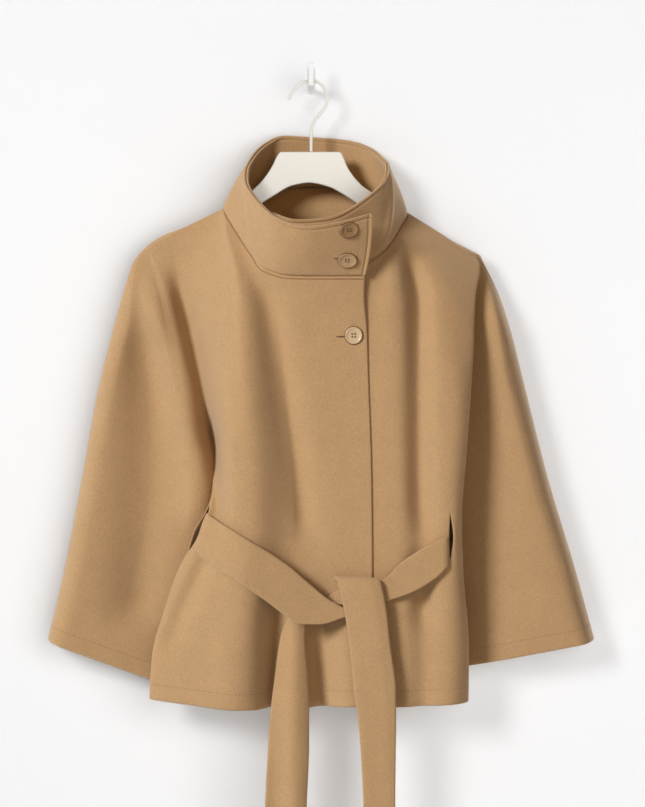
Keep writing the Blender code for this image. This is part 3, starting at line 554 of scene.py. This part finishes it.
def folded(grid, weight, top, folds):
    """The grid with its folds pushed in. weight is 0 along a column that has to stay."""
    out = grid.copy()
    below_top = ease((top[None, :] - grid[:, :, 2]) / FOLD_TOP)
    out[:, :, 1] += fold_push(grid[:, :, 0], grid[:, :, 2], folds) * weight[None, :] * below_top
    return out


def fold_push(x, z, folds):
    """How far the folds push each point of the cloth, in mm into the garment."""
    push = np.zeros_like(x)
    for depth, width, line in folds:
        line = np.asarray(line, float)
        middle = smooth_through(-line[:, 0], line[:, 1], -z.ravel()).reshape(z.shape)
        share = ease((line[0, 0] - z) / FOLD_START)
        if line[-1, 0] > ENDS_AT_HEM:
            share = share * ease((z - line[-1, 0]) / FOLD_END)
        push += depth * share * np.exp(-(((x - middle) / width) ** 2))
    return push


def neck_curve(angles):
    """Points on the collar's seam at these angles round the neck."""
    table = np.asarray(COLLAR, float)
    return smooth_through(table[:, 0], table[:, 1:4], angles)


def shoulder_curve(table, x):
    """Points on a shoulder seam at these x."""
    points = np.asarray(sorted(table), float)
    return np.column_stack([x, smooth_through(points[:, 0], points[:, 1:], x)])


def fitted_top(grid, curve):
    """The grid moved near its top, so that its first row lies on the curve."""
    depth = grid[0, :, 2][None, :] - grid[:, :, 2]
    share = 1 - ease(depth / FITTED)
    return grid + share[:, :, None] * (curve - grid[0])[None]


def relaxed(grid):
    """The grid with its depth evened out, and its border left as it is."""
    out = grid.copy()
    for _ in range(RELAX):
        y = out[:, :, 1]
        y[1:-1] = (y[:-2] + 2 * y[1:-1] + y[2:]) / 4
        y[:, 1:-1] = (y[:, :-2] + 2 * y[:, 1:-1] + y[:, 2:]) / 4
        out[:, :, 1] = y
        out[0, :, 1], out[-1, :, 1] = grid[0, :, 1], grid[-1, :, 1]
        out[:, 0, 1], out[:, -1, 1] = grid[:, 0, 1], grid[:, -1, 1]
    return out


def joined(upper, lower):
    """A grid and the one that goes on from its last row, evened out."""
    return relaxed(np.concatenate([upper, lower[1:]]))


def front_panels():
    """The fronts' grids from left to right: sleeve, body, body, sleeve."""
    tables = [
        SIDE_FOLD_LEFT, CREST_LEFT, CHEST_LEFT, LAP_LINE, PLACKET, CHEST_RIGHT, BREAST_RIGHT,
        FOLD_RIGHT,
    ]
    upper, (sleeve_left, body, sleeve_right) = cloth_strips(
        UPPER_LEVELS, tables, FRONT_BODY, FOLDS, False
    )
    first = sum(LEFT_SLEEVE)
    column = [first + sum(FRONT_BODY[:i]) for i in range(len(FRONT_BODY) + 1)]
    neck, lap, placket, breast = column[2], column[4], column[5], column[7]

    right = upper[:, : placket + 1]
    knots = [neck, column[3], lap, placket]
    angles = np.interp(np.arange(neck, placket + 1), knots, RIGHT_NECK)
    top = np.concatenate(
        [shoulder_curve(SHOULDER_LEFT, right[0, :neck, 0]), neck_curve(angles)]
    )
    right = fitted_top(relaxed(right), top + FRONT_RISE)

    left = upper[:, lap:].copy()
    knots = [lap, placket, column[6], breast]
    angles = np.interp(np.arange(lap, breast + 1), knots, LEFT_NECK)
    top = np.concatenate(
        [neck_curve(angles), shoulder_curve(SHOULDER_RIGHT, left[0, breast - lap + 1 :, 0])]
    )
    behind = LAP * (1 - ease((np.arange(lap, upper.shape[1]) - placket) / (breast - placket)))
    left[:, :, 1] += behind[None, :]
    left = fitted_top(relaxed(left), top + FRONT_RISE)
    left_body = body[:, lap - first :].copy()
    left_body[:, :, 1] += behind[None, : left_body.shape[1]]

    end = column[9] - lap
    return (
        joined(right[:, : first + 1], sleeve_left),
        joined(right[:, first:], body[:, : placket - first + 1]),
        joined(left[:, : end + 1], left_body),
        joined(left[:, end:], sleeve_right),
    )


def back_panel():
    """The back's grids: left sleeve, body and right sleeve."""
    upper, strips = cloth_strips(BACK_LEVELS, BACK_LINES, BACK_BODY, BACK_FOLDS, True)
    upper = relaxed(upper)
    first = sum(LEFT_SLEEVE)
    neck_left, neck_right = first + BACK_BODY[0], first + sum(BACK_BODY[:-1])
    last = upper.shape[1] - 1
    columns = np.arange(last + 1)
    angles = np.interp(columns[neck_left : neck_right + 1], [neck_left, neck_right], BACK_NECK)
    top_x = whole_width(np.array([0.0]), BACK_LINES, BACK_BODY, True)[0, :, 0]
    seam = np.concatenate([
        shoulder_curve(SHOULDER_LEFT, top_x[:neck_left]),
        neck_curve(angles),
        shoulder_curve(SHOULDER_RIGHT, top_x[neck_right + 1 :]),
    ])
    # The top turns over on the shoulders, but not at the neck and at the overarms.
    from_end = np.minimum(columns, last - columns)
    from_neck = np.maximum(neck_left - columns, columns - neck_right)
    turn = np.minimum(from_end / TURN_FROM_OVERARM, from_neck / TURN_FROM_NECK)
    turn = np.clip(turn, 0, 1)[:, None]
    edge = np.clip(1 - from_end / STRAIGHT_COLUMNS, 0, 1)[:, None]
    rows = []
    for i, over in enumerate(SHOULDER_TURN):
        share = i / len(SHOULDER_TURN)
        sideways = np.array((share, math.sqrt(share), share**1.5))
        plain = seam + BACK_SHIFT + sideways * (upper[0] - seam)
        free = turn * (seam + np.array((0, *over))) + (1 - turn) * plain
        down = seam + np.array((0, OVERARM_GAP, 0)) + share * (upper[0] - seam)
        rows.append(free * (1 - edge) + down * edge)
    upper = np.concatenate([np.array(rows), upper])
    end = first + sum(BACK_BODY)
    parts = (upper[:, : first + 1], upper[:, first : end + 1], upper[:, end:])
    return [joined(part, strip) for part, strip in zip(parts, strips)]


def slit_apart(grid, column, top, bottom, moves):
    """The grid parted along a column between two heights, by these moves of its two sides."""
    before, after = grid[:, : column + 1].copy(), grid[:, column:].copy()
    z = grid[:, column, 2]
    t = np.clip((top - z) / (top - bottom), 0, 1)
    gap = np.sin(math.pi * t) ** 0.8
    gap[(t <= 0) | (t >= 1)] = 0
    for step in range(SLIT_REACH):
        share = (gap * (1 - step / SLIT_REACH))[:, None]
        before[:, -1 - step] += share * np.array(moves[0])
        after[:, step] += share * np.array(moves[1])
    return before, after


def outward(grid):
    """Unit normals of a grid of points."""
    down = np.gradient(grid, axis=0)
    right = np.gradient(grid, axis=1)
    normal = np.cross(right, down)
    return normal / np.maximum(np.linalg.norm(normal, axis=2, keepdims=True), 1e-9)


def collar_lines():
    """Angles round the neck, and the collar's seam and rim there, closer together at its end."""
    table = np.asarray(COLLAR, float)
    fine = np.linspace(0, len(table) - 1, COLLAR_SAMPLES)
    angles = np.interp(fine, np.arange(len(table)), table[:, 0])
    points = smooth_through(table[:, 0], table[:, 1:], angles)
    for _ in range(COLLAR_PASSES):
        points[1:-1] = (points[:-2] + 2 * points[1:-1] + points[2:]) / 4
    down, reach = COLLAR_CORNER
    points[:, 5] -= down * (1 - np.minimum(run_along(points[:, 3:]) / reach, 1)) ** 2
    samples = np.arange(COLLAR_SAMPLES)
    places = np.concatenate([np.linspace(0, 10, 16), np.linspace(10, samples[-1], 150)[1:]])
    points = np.column_stack([np.interp(places, samples, p) for p in points.T])
    return np.interp(places, samples, angles), points[:, :3], points[:, 3:]


def collar_layer(move, top_drop, groove):
    """A collar layer, moved out from the middle of the collar, from its seam to its rim.

    It ends top_drop below the rim, and its stitches press it in by the groove's depth.
    """
    angles, seam, rim = collar_lines()
    height = np.linalg.norm(rim - seam, axis=1, keepdims=True)
    away = seam - COLLAR_CENTRE
    away[:, 2] = 0
    away /= np.linalg.norm(away, axis=1, keepdims=True)
    first = RIM_ROWS[0]
    below = [first + (height - first) * (1 - k / COLLAR_ROWS) for k in range(COLLAR_ROWS)]
    below += [np.full_like(height, d) for d in RIM_ROWS]
    along_end = run_along(rim)
    rows, pressed = [], []
    for d in below:
        s = 1 - (d * (1 - top_drop / height) + top_drop) / height
        out = COLLAR_BULGE * np.sin(math.pi * s)
        for at_seam, at_rim, width, push in CREASES:
            middle = at_seam + s[:, 0] * (at_rim - at_seam)
            between = ease(5 * s[:, 0]) * ease(6 - 6 * s[:, 0])
            out[:, 0] += push * np.exp(-(((angles - middle) / width) ** 2)) * between
        rows.append(seam + s * (rim - seam) + out * away)
        by_rim = np.exp(-(((d[:, 0] - RIM_STITCHES) / 1.1) ** 2))
        by_end = np.exp(-(((along_end - END_STITCHES) / 1.3) ** 2))
        pressed.append(np.minimum(by_rim + by_end, 1))
    grid = np.array(rows)
    normal = outward(grid)
    facing_out = np.sign((normal * away[None]).sum(axis=2, keepdims=True))
    out = move - groove * np.array(pressed)[:, :, None] * np.sign(move)
    return grid + out * normal * facing_out


def cloth_tree(grids):
    """A tree of the cloth's middle surface, to find its depth at an x and z."""
    points, faces = [], []
    for grid in grids:
        index = len(points) + np.arange(grid[:, :, 0].size).reshape(grid.shape[:2])
        points += [Vector(p) for p in grid.reshape(-1, 3)]
        corners = (index[:-1, :-1], index[1:, :-1], index[1:, 1:], index[:-1, 1:])
        faces += np.stack(corners, axis=-1).reshape(-1, 4).tolist()
    return BVHTree.FromPolygons(points, faces)


def on_cloth(tree, x, z):
    """The nearest point of the cloth to the viewer, or None."""
    return tree.ray_cast(Vector((x, -500, z)), Vector((0, 1, 0)))[0]


def stretched(run, depth):
    """Depths along a run, pulled straight wherever a taut band would leave the cloth."""
    hull = [0]
    for i in range(1, len(run)):
        while len(hull) > 1:
            a, b = hull[-2], hull[-1]
            straight = depth[a] + (depth[i] - depth[a]) * (run[b] - run[a]) / (run[i] - run[a])
            if depth[b] < straight:
                break
            hull.pop()
        hull.append(i)
    return np.interp(run, run[hull], depth[hull])


def strand(tree, stations, steps):
    """A stretch of belt pulled tight over the cloth."""
    table = np.asarray(stations, float)
    run = run_along(table[:, :2])
    at = np.linspace(0, run[-1], steps + 1)
    rows = smooth_through(run, table, at)
    grid = np.zeros((steps + 1, BELT_COLUMNS, 3))
    for r, (ax, az, bx, bz, lift) in enumerate(rows):
        for c in range(BELT_COLUMNS):
            share = c / (BELT_COLUMNS - 1)
            x, z = ax + (bx - ax) * share, az + (bz - az) * share
            found = on_cloth(tree, x, max(z, HANG_BELOW))
            y = found.y if found else BESIDE_Y
            grid[r, c] = (x, y - WALL / 2 - BELT_WALL / 2 - BELT_GAP - lift, z)
    for c in range(BELT_COLUMNS):
        grid[:, c, 1] = stretched(at, grid[:, c, 1])
    level = grid[:, :, 1].copy()
    for _ in range(BELT_PASSES):
        around = level.copy()
        around[1:-1] = (level[:-2] + level[1:-1] + level[2:]) / 3
        around[:, 1:-1] = (around[:, :-2] + around[:, 1:-1] + around[:, 2:]) / 3
        level = np.minimum(around, grid[:, :, 1])
    grid[:, :, 1] = level
    return grid


def tucked(grid, side):
    """A strand whose first stretch dives behind the cloth, through the slit on its left or right."""
    out = grid.copy()
    first = grid[0].mean(axis=0)
    away = np.linalg.norm(grid.mean(axis=1)[:, [0, 2]] - first[[0, 2]], axis=1)
    out[:, :, 1] += (DIVE_DEPTH * (1 - ease(away / DIVE_REACH)))[:, None]
    return np.concatenate([out[:1] + np.array(TUCK) * (side, 1, 1), out])


def rolled(grid, radius, turn, shift):
    """A tail with its top turned over backwards, as where it leaves the knot.

    It turns through this many degrees, and moves to the left by the shift in a half turn.
    """
    rows = []
    for a in np.linspace(math.radians(turn), 0, 15)[:-1]:
        back = radius * (1 - math.cos(a))
        up = radius * math.sin(a)
        rows.append(grid[0] + np.array((-shift * a / math.pi, back, up)))
    return np.concatenate([np.array(rows), grid])


def object_of(name, shape, *materials):
    """A new object from a bmesh, shaded smooth."""
    for face in shape.faces:
        face.smooth = True
    mesh = bpy.data.meshes.new(name)
    shape.to_mesh(mesh)
    shape.free()
    for material in materials:
        mesh.materials.append(material)
    made = bpy.data.objects.new(name, mesh)
    bpy.context.scene.collection.objects.link(made)
    return made


def smooth_within(mesh, angle):
    """Shades the mesh smooth, apart from edges that turn by more than this many degrees."""
    for face in mesh.polygons:
        face.use_smooth = True
    mesh.set_sharp_from_angle(angle=math.radians(angle))


def cloth_object(name, grids, thickness, material):
    """Open grids, joined where their points meet, made into a rounded wall."""
    shape = bmesh.new()
    for grid in grids:
        rows = [[shape.verts.new(Vector(p) * MM) for p in row] for row in grid]
        for upper, lower in zip(rows, rows[1:]):
            for c in range(len(upper) - 1):
                shape.faces.new((upper[c], lower[c], lower[c + 1], upper[c + 1]))
    bmesh.ops.remove_doubles(shape, verts=shape.verts, dist=0.02 * MM)
    bmesh.ops.recalc_face_normals(shape, faces=shape.faces)
    made = object_of(name, shape, material)
    wall = made.modifiers.new("wall", "SOLIDIFY")
    wall.thickness = thickness * MM
    wall.offset = 0
    round_off = made.modifiers.new("round", "SUBSURF")
    round_off.levels = round_off.render_levels = 1
    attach(made, "root")
    return made


def nodes_of(name):
    """A new material, its node tree and its shader."""
    material = bpy.data.materials.new(name)
    material.use_nodes = True
    tree = material.node_tree
    return material, tree, tree.nodes["Principled BSDF"]


def set_values(node, values):
    """Sets these inputs of a node."""
    for name, value in values.items():
        node.inputs[name].default_value = value


def noise(tree, coordinates, scale, detail, roughness=0.5):
    """The value of a noise texture."""
    node = tree.nodes.new("ShaderNodeTexNoise")
    set_values(node, {"Scale": scale, "Detail": detail, "Roughness": roughness})
    tree.links.new(coordinates, node.inputs["Vector"])
    return node.outputs["Fac"]


def ramp(tree, value, stops):
    """The colour for a value, between two stops."""
    node = tree.nodes.new("ShaderNodeValToRGB")
    elements = node.color_ramp.elements
    for element, (place, colour) in zip(elements, stops):
        element.position = place
        element.color = (*colour, 1)
    tree.links.new(value, node.inputs["Fac"])
    return node.outputs["Color"]


def bump(tree, shader, height, strength, distance):
    """Gives the shader small bumps of this height."""
    node = tree.nodes.new("ShaderNodeBump")
    set_values(node, {"Strength": strength, "Distance": distance})
    tree.links.new(height, node.inputs["Height"])
    tree.links.new(node.outputs["Normal"], shader.inputs["Normal"])


def wool():
    """Felted camel wool: fine flecks, a slow change of tone, a short nap and a sheen."""
    material, tree, shader = nodes_of("camel_wool")
    place = tree.nodes.new("ShaderNodeTexCoord").outputs["Object"]
    flecks = ramp(tree, noise(tree, place, 520, 5, 0.75), ((0.3, WOOL_DARK), (0.7, WOOL_LIGHT)))
    clouds = ramp(tree, noise(tree, place, 45, 4), ((0.3, (0.95,) * 3), (0.7, (1.0,) * 3)))
    mix = tree.nodes.new("ShaderNodeMix")
    mix.data_type = "RGBA"
    mix.blend_type = "MULTIPLY"
    mix.inputs["Factor"].default_value = 1
    tree.links.new(flecks, mix.inputs["A"])
    tree.links.new(clouds, mix.inputs["B"])
    tree.links.new(mix.outputs["Result"], shader.inputs["Base Color"])
    bump(tree, shader, noise(tree, place, 700, 4, 0.7), 0.5, 0.0008)
    set_values(shader, {
        "Roughness": 0.9, "Specular IOR Level": 0.2, "Sheen Weight": 0.3,
        "Sheen Roughness": 0.6, "Sheen Tint": (1.0, 0.93, 0.82, 1),
    })
    return material


def plain(name, colour, roughness, grain, spread):
    """A painted, moulded or polished finish with a little unevenness."""
    material, tree, shader = nodes_of(name)
    place = tree.nodes.new("ShaderNodeTexCoord").outputs["Object"]
    low = tuple(c * (1 - spread) for c in colour)
    tone = ramp(tree, noise(tree, place, grain, 3), ((0.35, low), (0.65, colour)))
    tree.links.new(tone, shader.inputs["Base Color"])
    bump(tree, shader, noise(tree, place, grain * 2, 2), 0.05, 0.0003)
    shader.inputs["Roughness"].default_value = roughness
    return material


def button(name, place, slopes, radius, flat, tilt, finish, dark):
    """A four-hole button with a raised rim, lying on the cloth."""
    shape = bmesh.new()
    rings = []
    for share, height in BUTTON_SECTION:
        turns = range(BUTTON_TURNS if share else 1)
        angles = [2 * math.pi * k / BUTTON_TURNS for k in turns]
        reach = radius * share
        rings.append([
            shape.verts.new((reach * math.cos(a), -height, reach * math.sin(a))) for a in angles
        ])
    for upper, lower in zip(rings, rings[1:]):
        for k in range(BUTTON_TURNS):
            after = (k + 1) % BUTTON_TURNS
            corners = [upper[k % len(upper)], upper[after % len(upper)], lower[after % len(lower)],
                       lower[k % len(lower)]]
            shape.faces.new(list(dict.fromkeys(corners)))
    bmesh.ops.recalc_face_normals(shape, faces=shape.faces)
    made = object_of(name, shape, finish, dark)
    made.data.transform(Matrix.Scale(MM, 4))
    # Its outer faces take the dark finish: the horn's darker edge, with painted contact shadow.
    for face in made.data.polygons:
        out = math.hypot(face.center.x, face.center.z) / (radius * MM)
        face.material_index = int(out > DARK_FROM)
    for k in range(4):
        a = math.radians(45 + 90 * k)
        bpy.ops.mesh.primitive_cylinder_add(vertices=16, radius=HOLE_RADIUS * MM, depth=20 * MM)
        cutter = bpy.context.object
        # The holes' walls take the dark finish as painted shade inside them.
        cutter.data.materials.append(dark)
        cutter.rotation_euler = (math.radians(90), 0, 0)
        cutter.location = (HOLES_AT * math.cos(a) * MM, 0, HOLES_AT * math.sin(a) * MM)
        bpy.context.view_layer.update()
        hole = made.modifiers.new("hole", "BOOLEAN")
        hole.object = cutter
        hole.operation = "DIFFERENCE"
        bpy.context.view_layer.objects.active = made
        bpy.ops.object.modifier_apply(modifier="hole")
        bpy.data.objects.remove(cutter, do_unlink=True)
    # A dark disc behind the holes: painted shadow under the button, seen through them.
    filled = bmesh.new()
    filled.from_mesh(made.data)
    disc = bmesh.ops.create_circle(  # dark, behind the holes
        filled, cap_ends=True, radius=HOLES_AT * 1.7 * MM, segments=24,
        matrix=Matrix.Translation((0, -0.35 * MM, 0)) @ Matrix.Rotation(math.radians(90), 4, "X"),
    )
    for face in {face for vert in disc["verts"] for face in vert.link_faces}:
        face.material_index = 1
    filled.to_mesh(made.data)
    filled.free()
    smooth_within(made.data, 40)
    made.rotation_euler = (-math.atan(slopes[1]), math.radians(-tilt), math.atan(slopes[0]))
    made.scale = (1, 1, flat)
    made.location = place * MM
    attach(made, "root")
    return made


def slopes_at(tree, x, z, reach):
    """How fast the cloth's depth grows to the right and upwards."""
    right, left, above, below = (
        on_cloth(tree, x + dx, z + dz).y
        for dx, dz in ((reach, 0), (-reach, 0), (0, reach), (0, -reach))
    )
    return (right - left) / (2 * reach), (above - below) / (2 * reach)


def buttonhole(name, first, last, z, depth, thread, dark):
    """A worked slit that runs from under its button: a bead of thread with a dark middle."""
    for part, longer, high, thick, material in (
        ("_edge", 0.8, 1.3, 0.5, thread), ("_slit", 0, 0.45, 0.9, dark),
    ):
        bpy.ops.mesh.primitive_uv_sphere_add(segments=24, ring_count=12, radius=MM)
        made = bpy.context.object
        made.name = name + part
        made.scale = ((last - first) / 2 + longer, thick, high)
        made.location = ((first + last) / 2 * MM, depth * MM, z * MM)
        for face in made.data.polygons:
            face.use_smooth = True
        made.data.materials.append(material)
        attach(made, "root")


def hanger_board(finish):
    """The board's outline with its curves evened out, and rounded edges."""
    outline = []
    for line in (BOARD_TOP, BOARD_BOTTOM):
        points = np.asarray(line, float)
        run = run_along(points)
        outline += [tuple(p) for p in smooth_through(run, points, np.linspace(0, run[-1], 150))]
    curve = bpy.data.curves.new("board_shape", "CURVE")
    curve.dimensions = "2D"
    curve.fill_mode = "BOTH"
    curve.extrude = (BOARD_THICKNESS / 2 - BOARD_EDGE) * MM
    curve.bevel_depth = BOARD_EDGE * MM
    curve.bevel_resolution = 3
    curve.offset = -BOARD_EDGE * MM
    spline = curve.splines.new("POLY")
    spline.points.add(len(outline) - 1)
    for point, (x, z) in zip(spline.points, outline):
        point.co = (x * MM, z * MM, 0, 1)
    spline.use_cyclic_u = True
    made = bpy.data.objects.new("hanger_board_painted", curve)
    bpy.context.scene.collection.objects.link(made)
    bpy.context.view_layer.objects.active = made
    made.select_set(True)
    bpy.ops.object.convert(target="MESH")
    made.data.materials.clear()
    made.data.materials.append(finish)
    made.rotation_euler = (math.radians(90), 0, 0)
    made.location = (0, BOARD_Y * MM, 0)
    smooth_within(made.data, 35)
    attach(made, "root")
    return made


def line_on(grid, distance, first, last, from_top, side):
    """Points at a distance from a panel's top or hem, on the outer face, and the normals there.

    The outer face is the one towards side, -1 for the front and 1 for the back.
    """
    columns = grid[:, first:last]
    normals = outward(grid)[:, first:last]
    flip = np.sign(normals[:, :, 1:2].sum() * side)
    if not from_top:
        columns, normals = columns[::-1], normals[::-1]
    steps = np.linalg.norm(np.diff(columns, axis=0), axis=2)
    run = np.concatenate([np.zeros((1, steps.shape[1])), np.cumsum(steps, axis=0)])
    points, ways = (
        np.array([
            [np.interp(distance, run[:, c], values[:, c, i]) for i in range(3)]
            for c in range(run.shape[1])
        ])
        for values in (columns, normals)
    )
    ways *= flip
    return points + ways * WALL / 2, ways


def stitches(name, line, normals, sizes, material):
    """Stitches along a line of points, each a small rounded bar lying on the cloth."""
    length, pitch, width = sizes
    run = run_along(line)
    shape = bmesh.new()
    for s in np.arange(pitch / 2, run[-1] - length, pitch):
        ends = [Vector([np.interp(t, run, line[:, i]) for i in range(3)]) for t in (s, s + length)]
        up = Vector([np.interp(s, run, normals[:, i]) for i in range(3)]).normalized()
        ahead = (ends[1] - ends[0]).normalized()
        side = ahead.cross(up).normalized()
        middle = (ends[0] + ends[1]) / 2
        made = bmesh.ops.create_uvsphere(shape, u_segments=8, v_segments=5, radius=1)
        for vert in made["verts"]:
            x, y, z = vert.co
            vert.co = (
                middle + ahead * x * length / 2 + side * y * width / 2 + up * z * width * 0.4
            ) * MM
    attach(object_of(name, shape, material), "root")


def column_near(grid, x, z):
    """The grid's column that comes nearest to x at this height."""
    row = np.argmin(abs(grid[:, -1 - FRONT_BODY[-1], 2] - z))
    return int(np.argmin(abs(grid[row, :, 0] - x)))


def make_cloth(fronts, backs, outer):
    """The panels, the collar and the belt, in place of their plain solids, with their cuts."""
    right_sleeve, right_body, left_body, left_sleeve = fronts
    left_slit = slit_apart(right_body, FRONT_BODY[0], *LEFT_SLIT)
    right_slit = slit_apart(left_body, column_near(left_body, *RIGHT_SLIT_AT), *RIGHT_SLIT)
    facing = collar_layer(-COLLAR_PLY, 0.4, 0.9)
    tree = cloth_tree(fronts)
    run = np.asarray(INSIDE_RUN, float)
    run = smooth_through(np.arange(len(run)), run, np.linspace(0, len(run) - 1, 61))
    inside = [run - np.array((0, 0, BELT_WIDTH * share)) for share in np.linspace(0, 1, 7)]
    cloth = wool()
    for node, grids, thickness in (
        ("front_right", [right_sleeve, *left_slit], WALL),
        ("front_left", [*right_slit, left_sleeve], WALL),
        ("back", backs, WALL),
        ("collar_outer", [outer], COLLAR_WALL),
        ("collar_facing", [facing], COLLAR_WALL),
        ("belt_strand_left", [tucked(strand(tree, STRAND_LEFT, 60), 1)], BELT_WALL),
        ("belt_strand_right", [tucked(strand(tree, STRAND_RIGHT, 50), -1)], BELT_WALL),
        ("belt_tail_left", [rolled(strand(tree, TAIL_LEFT, 80), 4, 120, 0)], BELT_WALL),
        ("belt_tail_right", [rolled(strand(tree, TAIL_RIGHT, 90), 5, 170, 7)], BELT_WALL),
        ("belt_inside", [np.array(inside)], BELT_WALL),
    ):
        piece = cloth_object(node + "_cloth", grids, thickness, cloth)
        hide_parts(node)


def make_stitches(fronts, backs, outer, finishes):
    """Stitches along the hem and both sides of the neck, and down the collar's end."""
    _, right_body, left_body, _ = fronts
    names = (
        "right_sleeve_front", "right_body_front", "left_body_front", "left_sleeve_front",
        "left_sleeve_back", "body_back", "right_sleeve_back",
    )
    for name, grid in zip(names, [*fronts, *backs]):
        side = -1 if name.endswith("front") else 1
        line = line_on(grid, HEM_STITCHES, 0, grid.shape[1], False, side)
        stitches("hem_" + name, *line, TOPSTITCH, finishes["thread"])
    for name, grid, first, last in (
        ("neck_right", right_body, sum(FRONT_BODY[:2]), right_body.shape[1]),
        ("neck_left", left_body, 4, left_body.shape[1] - sum(FRONT_BODY[-2:])),
    ):
        line = line_on(grid, NECK_STITCHES, first, last, True, -1)
        stitches(name + "_front", *line, NECK_STITCH, finishes["thread"])
        # and a dark band of painted shade along the groove there
        stitches(name + "_ditch", *line, NECK_DITCH_SHADE, finishes["ditch_shade"])
    away = outward(outer)[2:-6, COLLAR_END]
    away *= -np.sign(away[:, 1:2])
    line = outer[2:-6, COLLAR_END] + away * COLLAR_WALL / 2
    stitches("collar_end_stitches", line, away, TOPSTITCH, finishes["thread"])


def make_fastenings(tree, finishes):
    """The buttons and the buttonholes."""
    for node, x, z, radius, flat, tilt, finish in BUTTONS:
        half = (COLLAR_WALL if "collar" in node else WALL) / 2
        slopes = slopes_at(tree, x, z, 9)
        place = on_cloth(tree, x, z) + Vector((0, -half - 0.1, 0))
        piece = button(node + "_horn", place, slopes, radius, flat, tilt, finishes[finish],
                       finishes["button_edge_and_shade"])
        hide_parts(node)
    for name, first, last, z in BUTTONHOLES:
        half = (COLLAR_WALL if "collar" in name else WALL) / 2
        depth = on_cloth(tree, (first + last) / 2, z).y - half
        buttonhole(name, first, last, z, depth, finishes["thread"], finishes["hole_shadow"])


def make_holders(nodes, finishes):
    """The hanger and the wall hook: a rounder board, and better finishes on the CAD's own solids."""
    board = hanger_board(finishes["cream_paint"])
    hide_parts("hanger_board")
    for node, finish in (("hanger_hook", "cream_wire"), ("wall_hook", "white_paint")):
        nodes[node].data.materials.clear()
        nodes[node].data.materials.append(finishes[finish])


def stage_plane(name, colour, roughness):
    """A plane of one metre in one colour, with its material's tree and shader."""
    material, tree, shader = nodes_of(name + "_pale")
    set_values(shader, {"Base Color": (*colour, 1), "Roughness": roughness})
    bpy.ops.mesh.primitive_plane_add(size=1)
    plane = bpy.context.object
    plane.name = name
    plane.data.materials.append(material)
    return plane, tree, shader


def make_stage(floor_height):
    """A pale floor, and a white wall that shows only from its front."""
    wall, tree, shader = stage_plane("wall", (0.93, 0.93, 0.935), 0.9)
    wall.scale = (FLOOR_SIDE, WALL_HEIGHT, 1)
    wall.rotation_euler = (math.radians(90), 0, 0)
    wall.location = (0, 0.001, floor_height + WALL_HEIGHT / 2)
    see_through = tree.nodes.new("ShaderNodeBsdfTransparent")
    side = tree.nodes.new("ShaderNodeNewGeometry")
    mix = tree.nodes.new("ShaderNodeMixShader")
    tree.links.new(side.outputs["Backfacing"], mix.inputs["Fac"])
    tree.links.new(shader.outputs["BSDF"], mix.inputs[1])
    tree.links.new(see_through.outputs["BSDF"], mix.inputs[2])
    tree.links.new(mix.outputs["Shader"], tree.nodes["Material Output"].inputs["Surface"])

    floor, _, _ = stage_plane("floor", (0.86, 0.86, 0.86), 0.8)
    floor.scale = (FLOOR_SIDE, FLOOR_SIDE, 1)
    floor.location = (0, 0, floor_height)


def make_lights():
    """Soft lights, some for the cape and some for all that is pale."""
    receivers = {lit: bpy.data.collections.new("lit_" + lit) for lit in ("cape", "wall")}
    for thing in bpy.context.scene.objects:
        if thing.type == "MESH":
            pale = thing.name.startswith(("wall", "floor", "hanger"))
            receivers["wall" if pale else "cape"].objects.link(thing)
    for name, place, size, colour, power, lit in LIGHTS:
        light = bpy.data.lights.new(name, "AREA")
        light.shape = "DISK"
        light.size = size
        light.energy = power
        light.color = colour
        lamp = bpy.data.objects.new(name, light)
        lamp.location = place
        lamp.rotation_euler = (LIGHT_AIM - Vector(place)).to_track_quat("-Z", "Y").to_euler()
        bpy.context.scene.collection.objects.link(lamp)
        lamp.light_linking.receiver_collection = receivers[lit]
        if place[1] > 0:
            lamp.light_linking.blocker_collection = receivers["cape"]  # it shines through the wall
            light.cycles.max_bounces = 0  # and none of it comes off the cape onto the wall
    world = bpy.data.worlds.new("studio")
    world.use_nodes = True
    set_values(world.node_tree.nodes["Background"], {"Color": (1, 0.9, 0.8, 1), "Strength": WORLD})
    bpy.context.scene.world = world
    bpy.context.scene.view_settings.view_transform = "Standard"


def make_camera():
    """A camera straight in front, as in the photo."""
    camera = bpy.data.cameras.new("camera")
    camera.sensor_fit = "VERTICAL"
    camera.sensor_height = SENSOR
    camera.lens = SENSOR * CAMERA_DISTANCE / VIEW_HEIGHT
    eye = bpy.data.objects.new("camera", camera)
    eye.location = VIEW_MIDDLE - Vector((0, CAMERA_DISTANCE, 0))
    eye.rotation_euler = (math.radians(90), 0, 0)
    bpy.context.scene.collection.objects.link(eye)
    bpy.context.scene.camera = eye


def main():
    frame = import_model()
    cad_box = [list(corner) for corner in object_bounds()]
    fronts = front_panels()
    backs = back_panel()
    outer = collar_layer(COLLAR_PLY, 0, 1.5)
    make_cloth(fronts, backs, outer)
    finishes = {name: plain(name, *recipe) for name, recipe in FINISHES.items()}
    make_stitches(fronts, backs, outer, finishes)
    make_fastenings(cloth_tree([*fronts, outer]), finishes)
    make_holders(frame["nodes"], finishes)
    make_stage(cad_box[0][2] - FLOOR_DROP)
    make_lights()
    make_camera()


main()
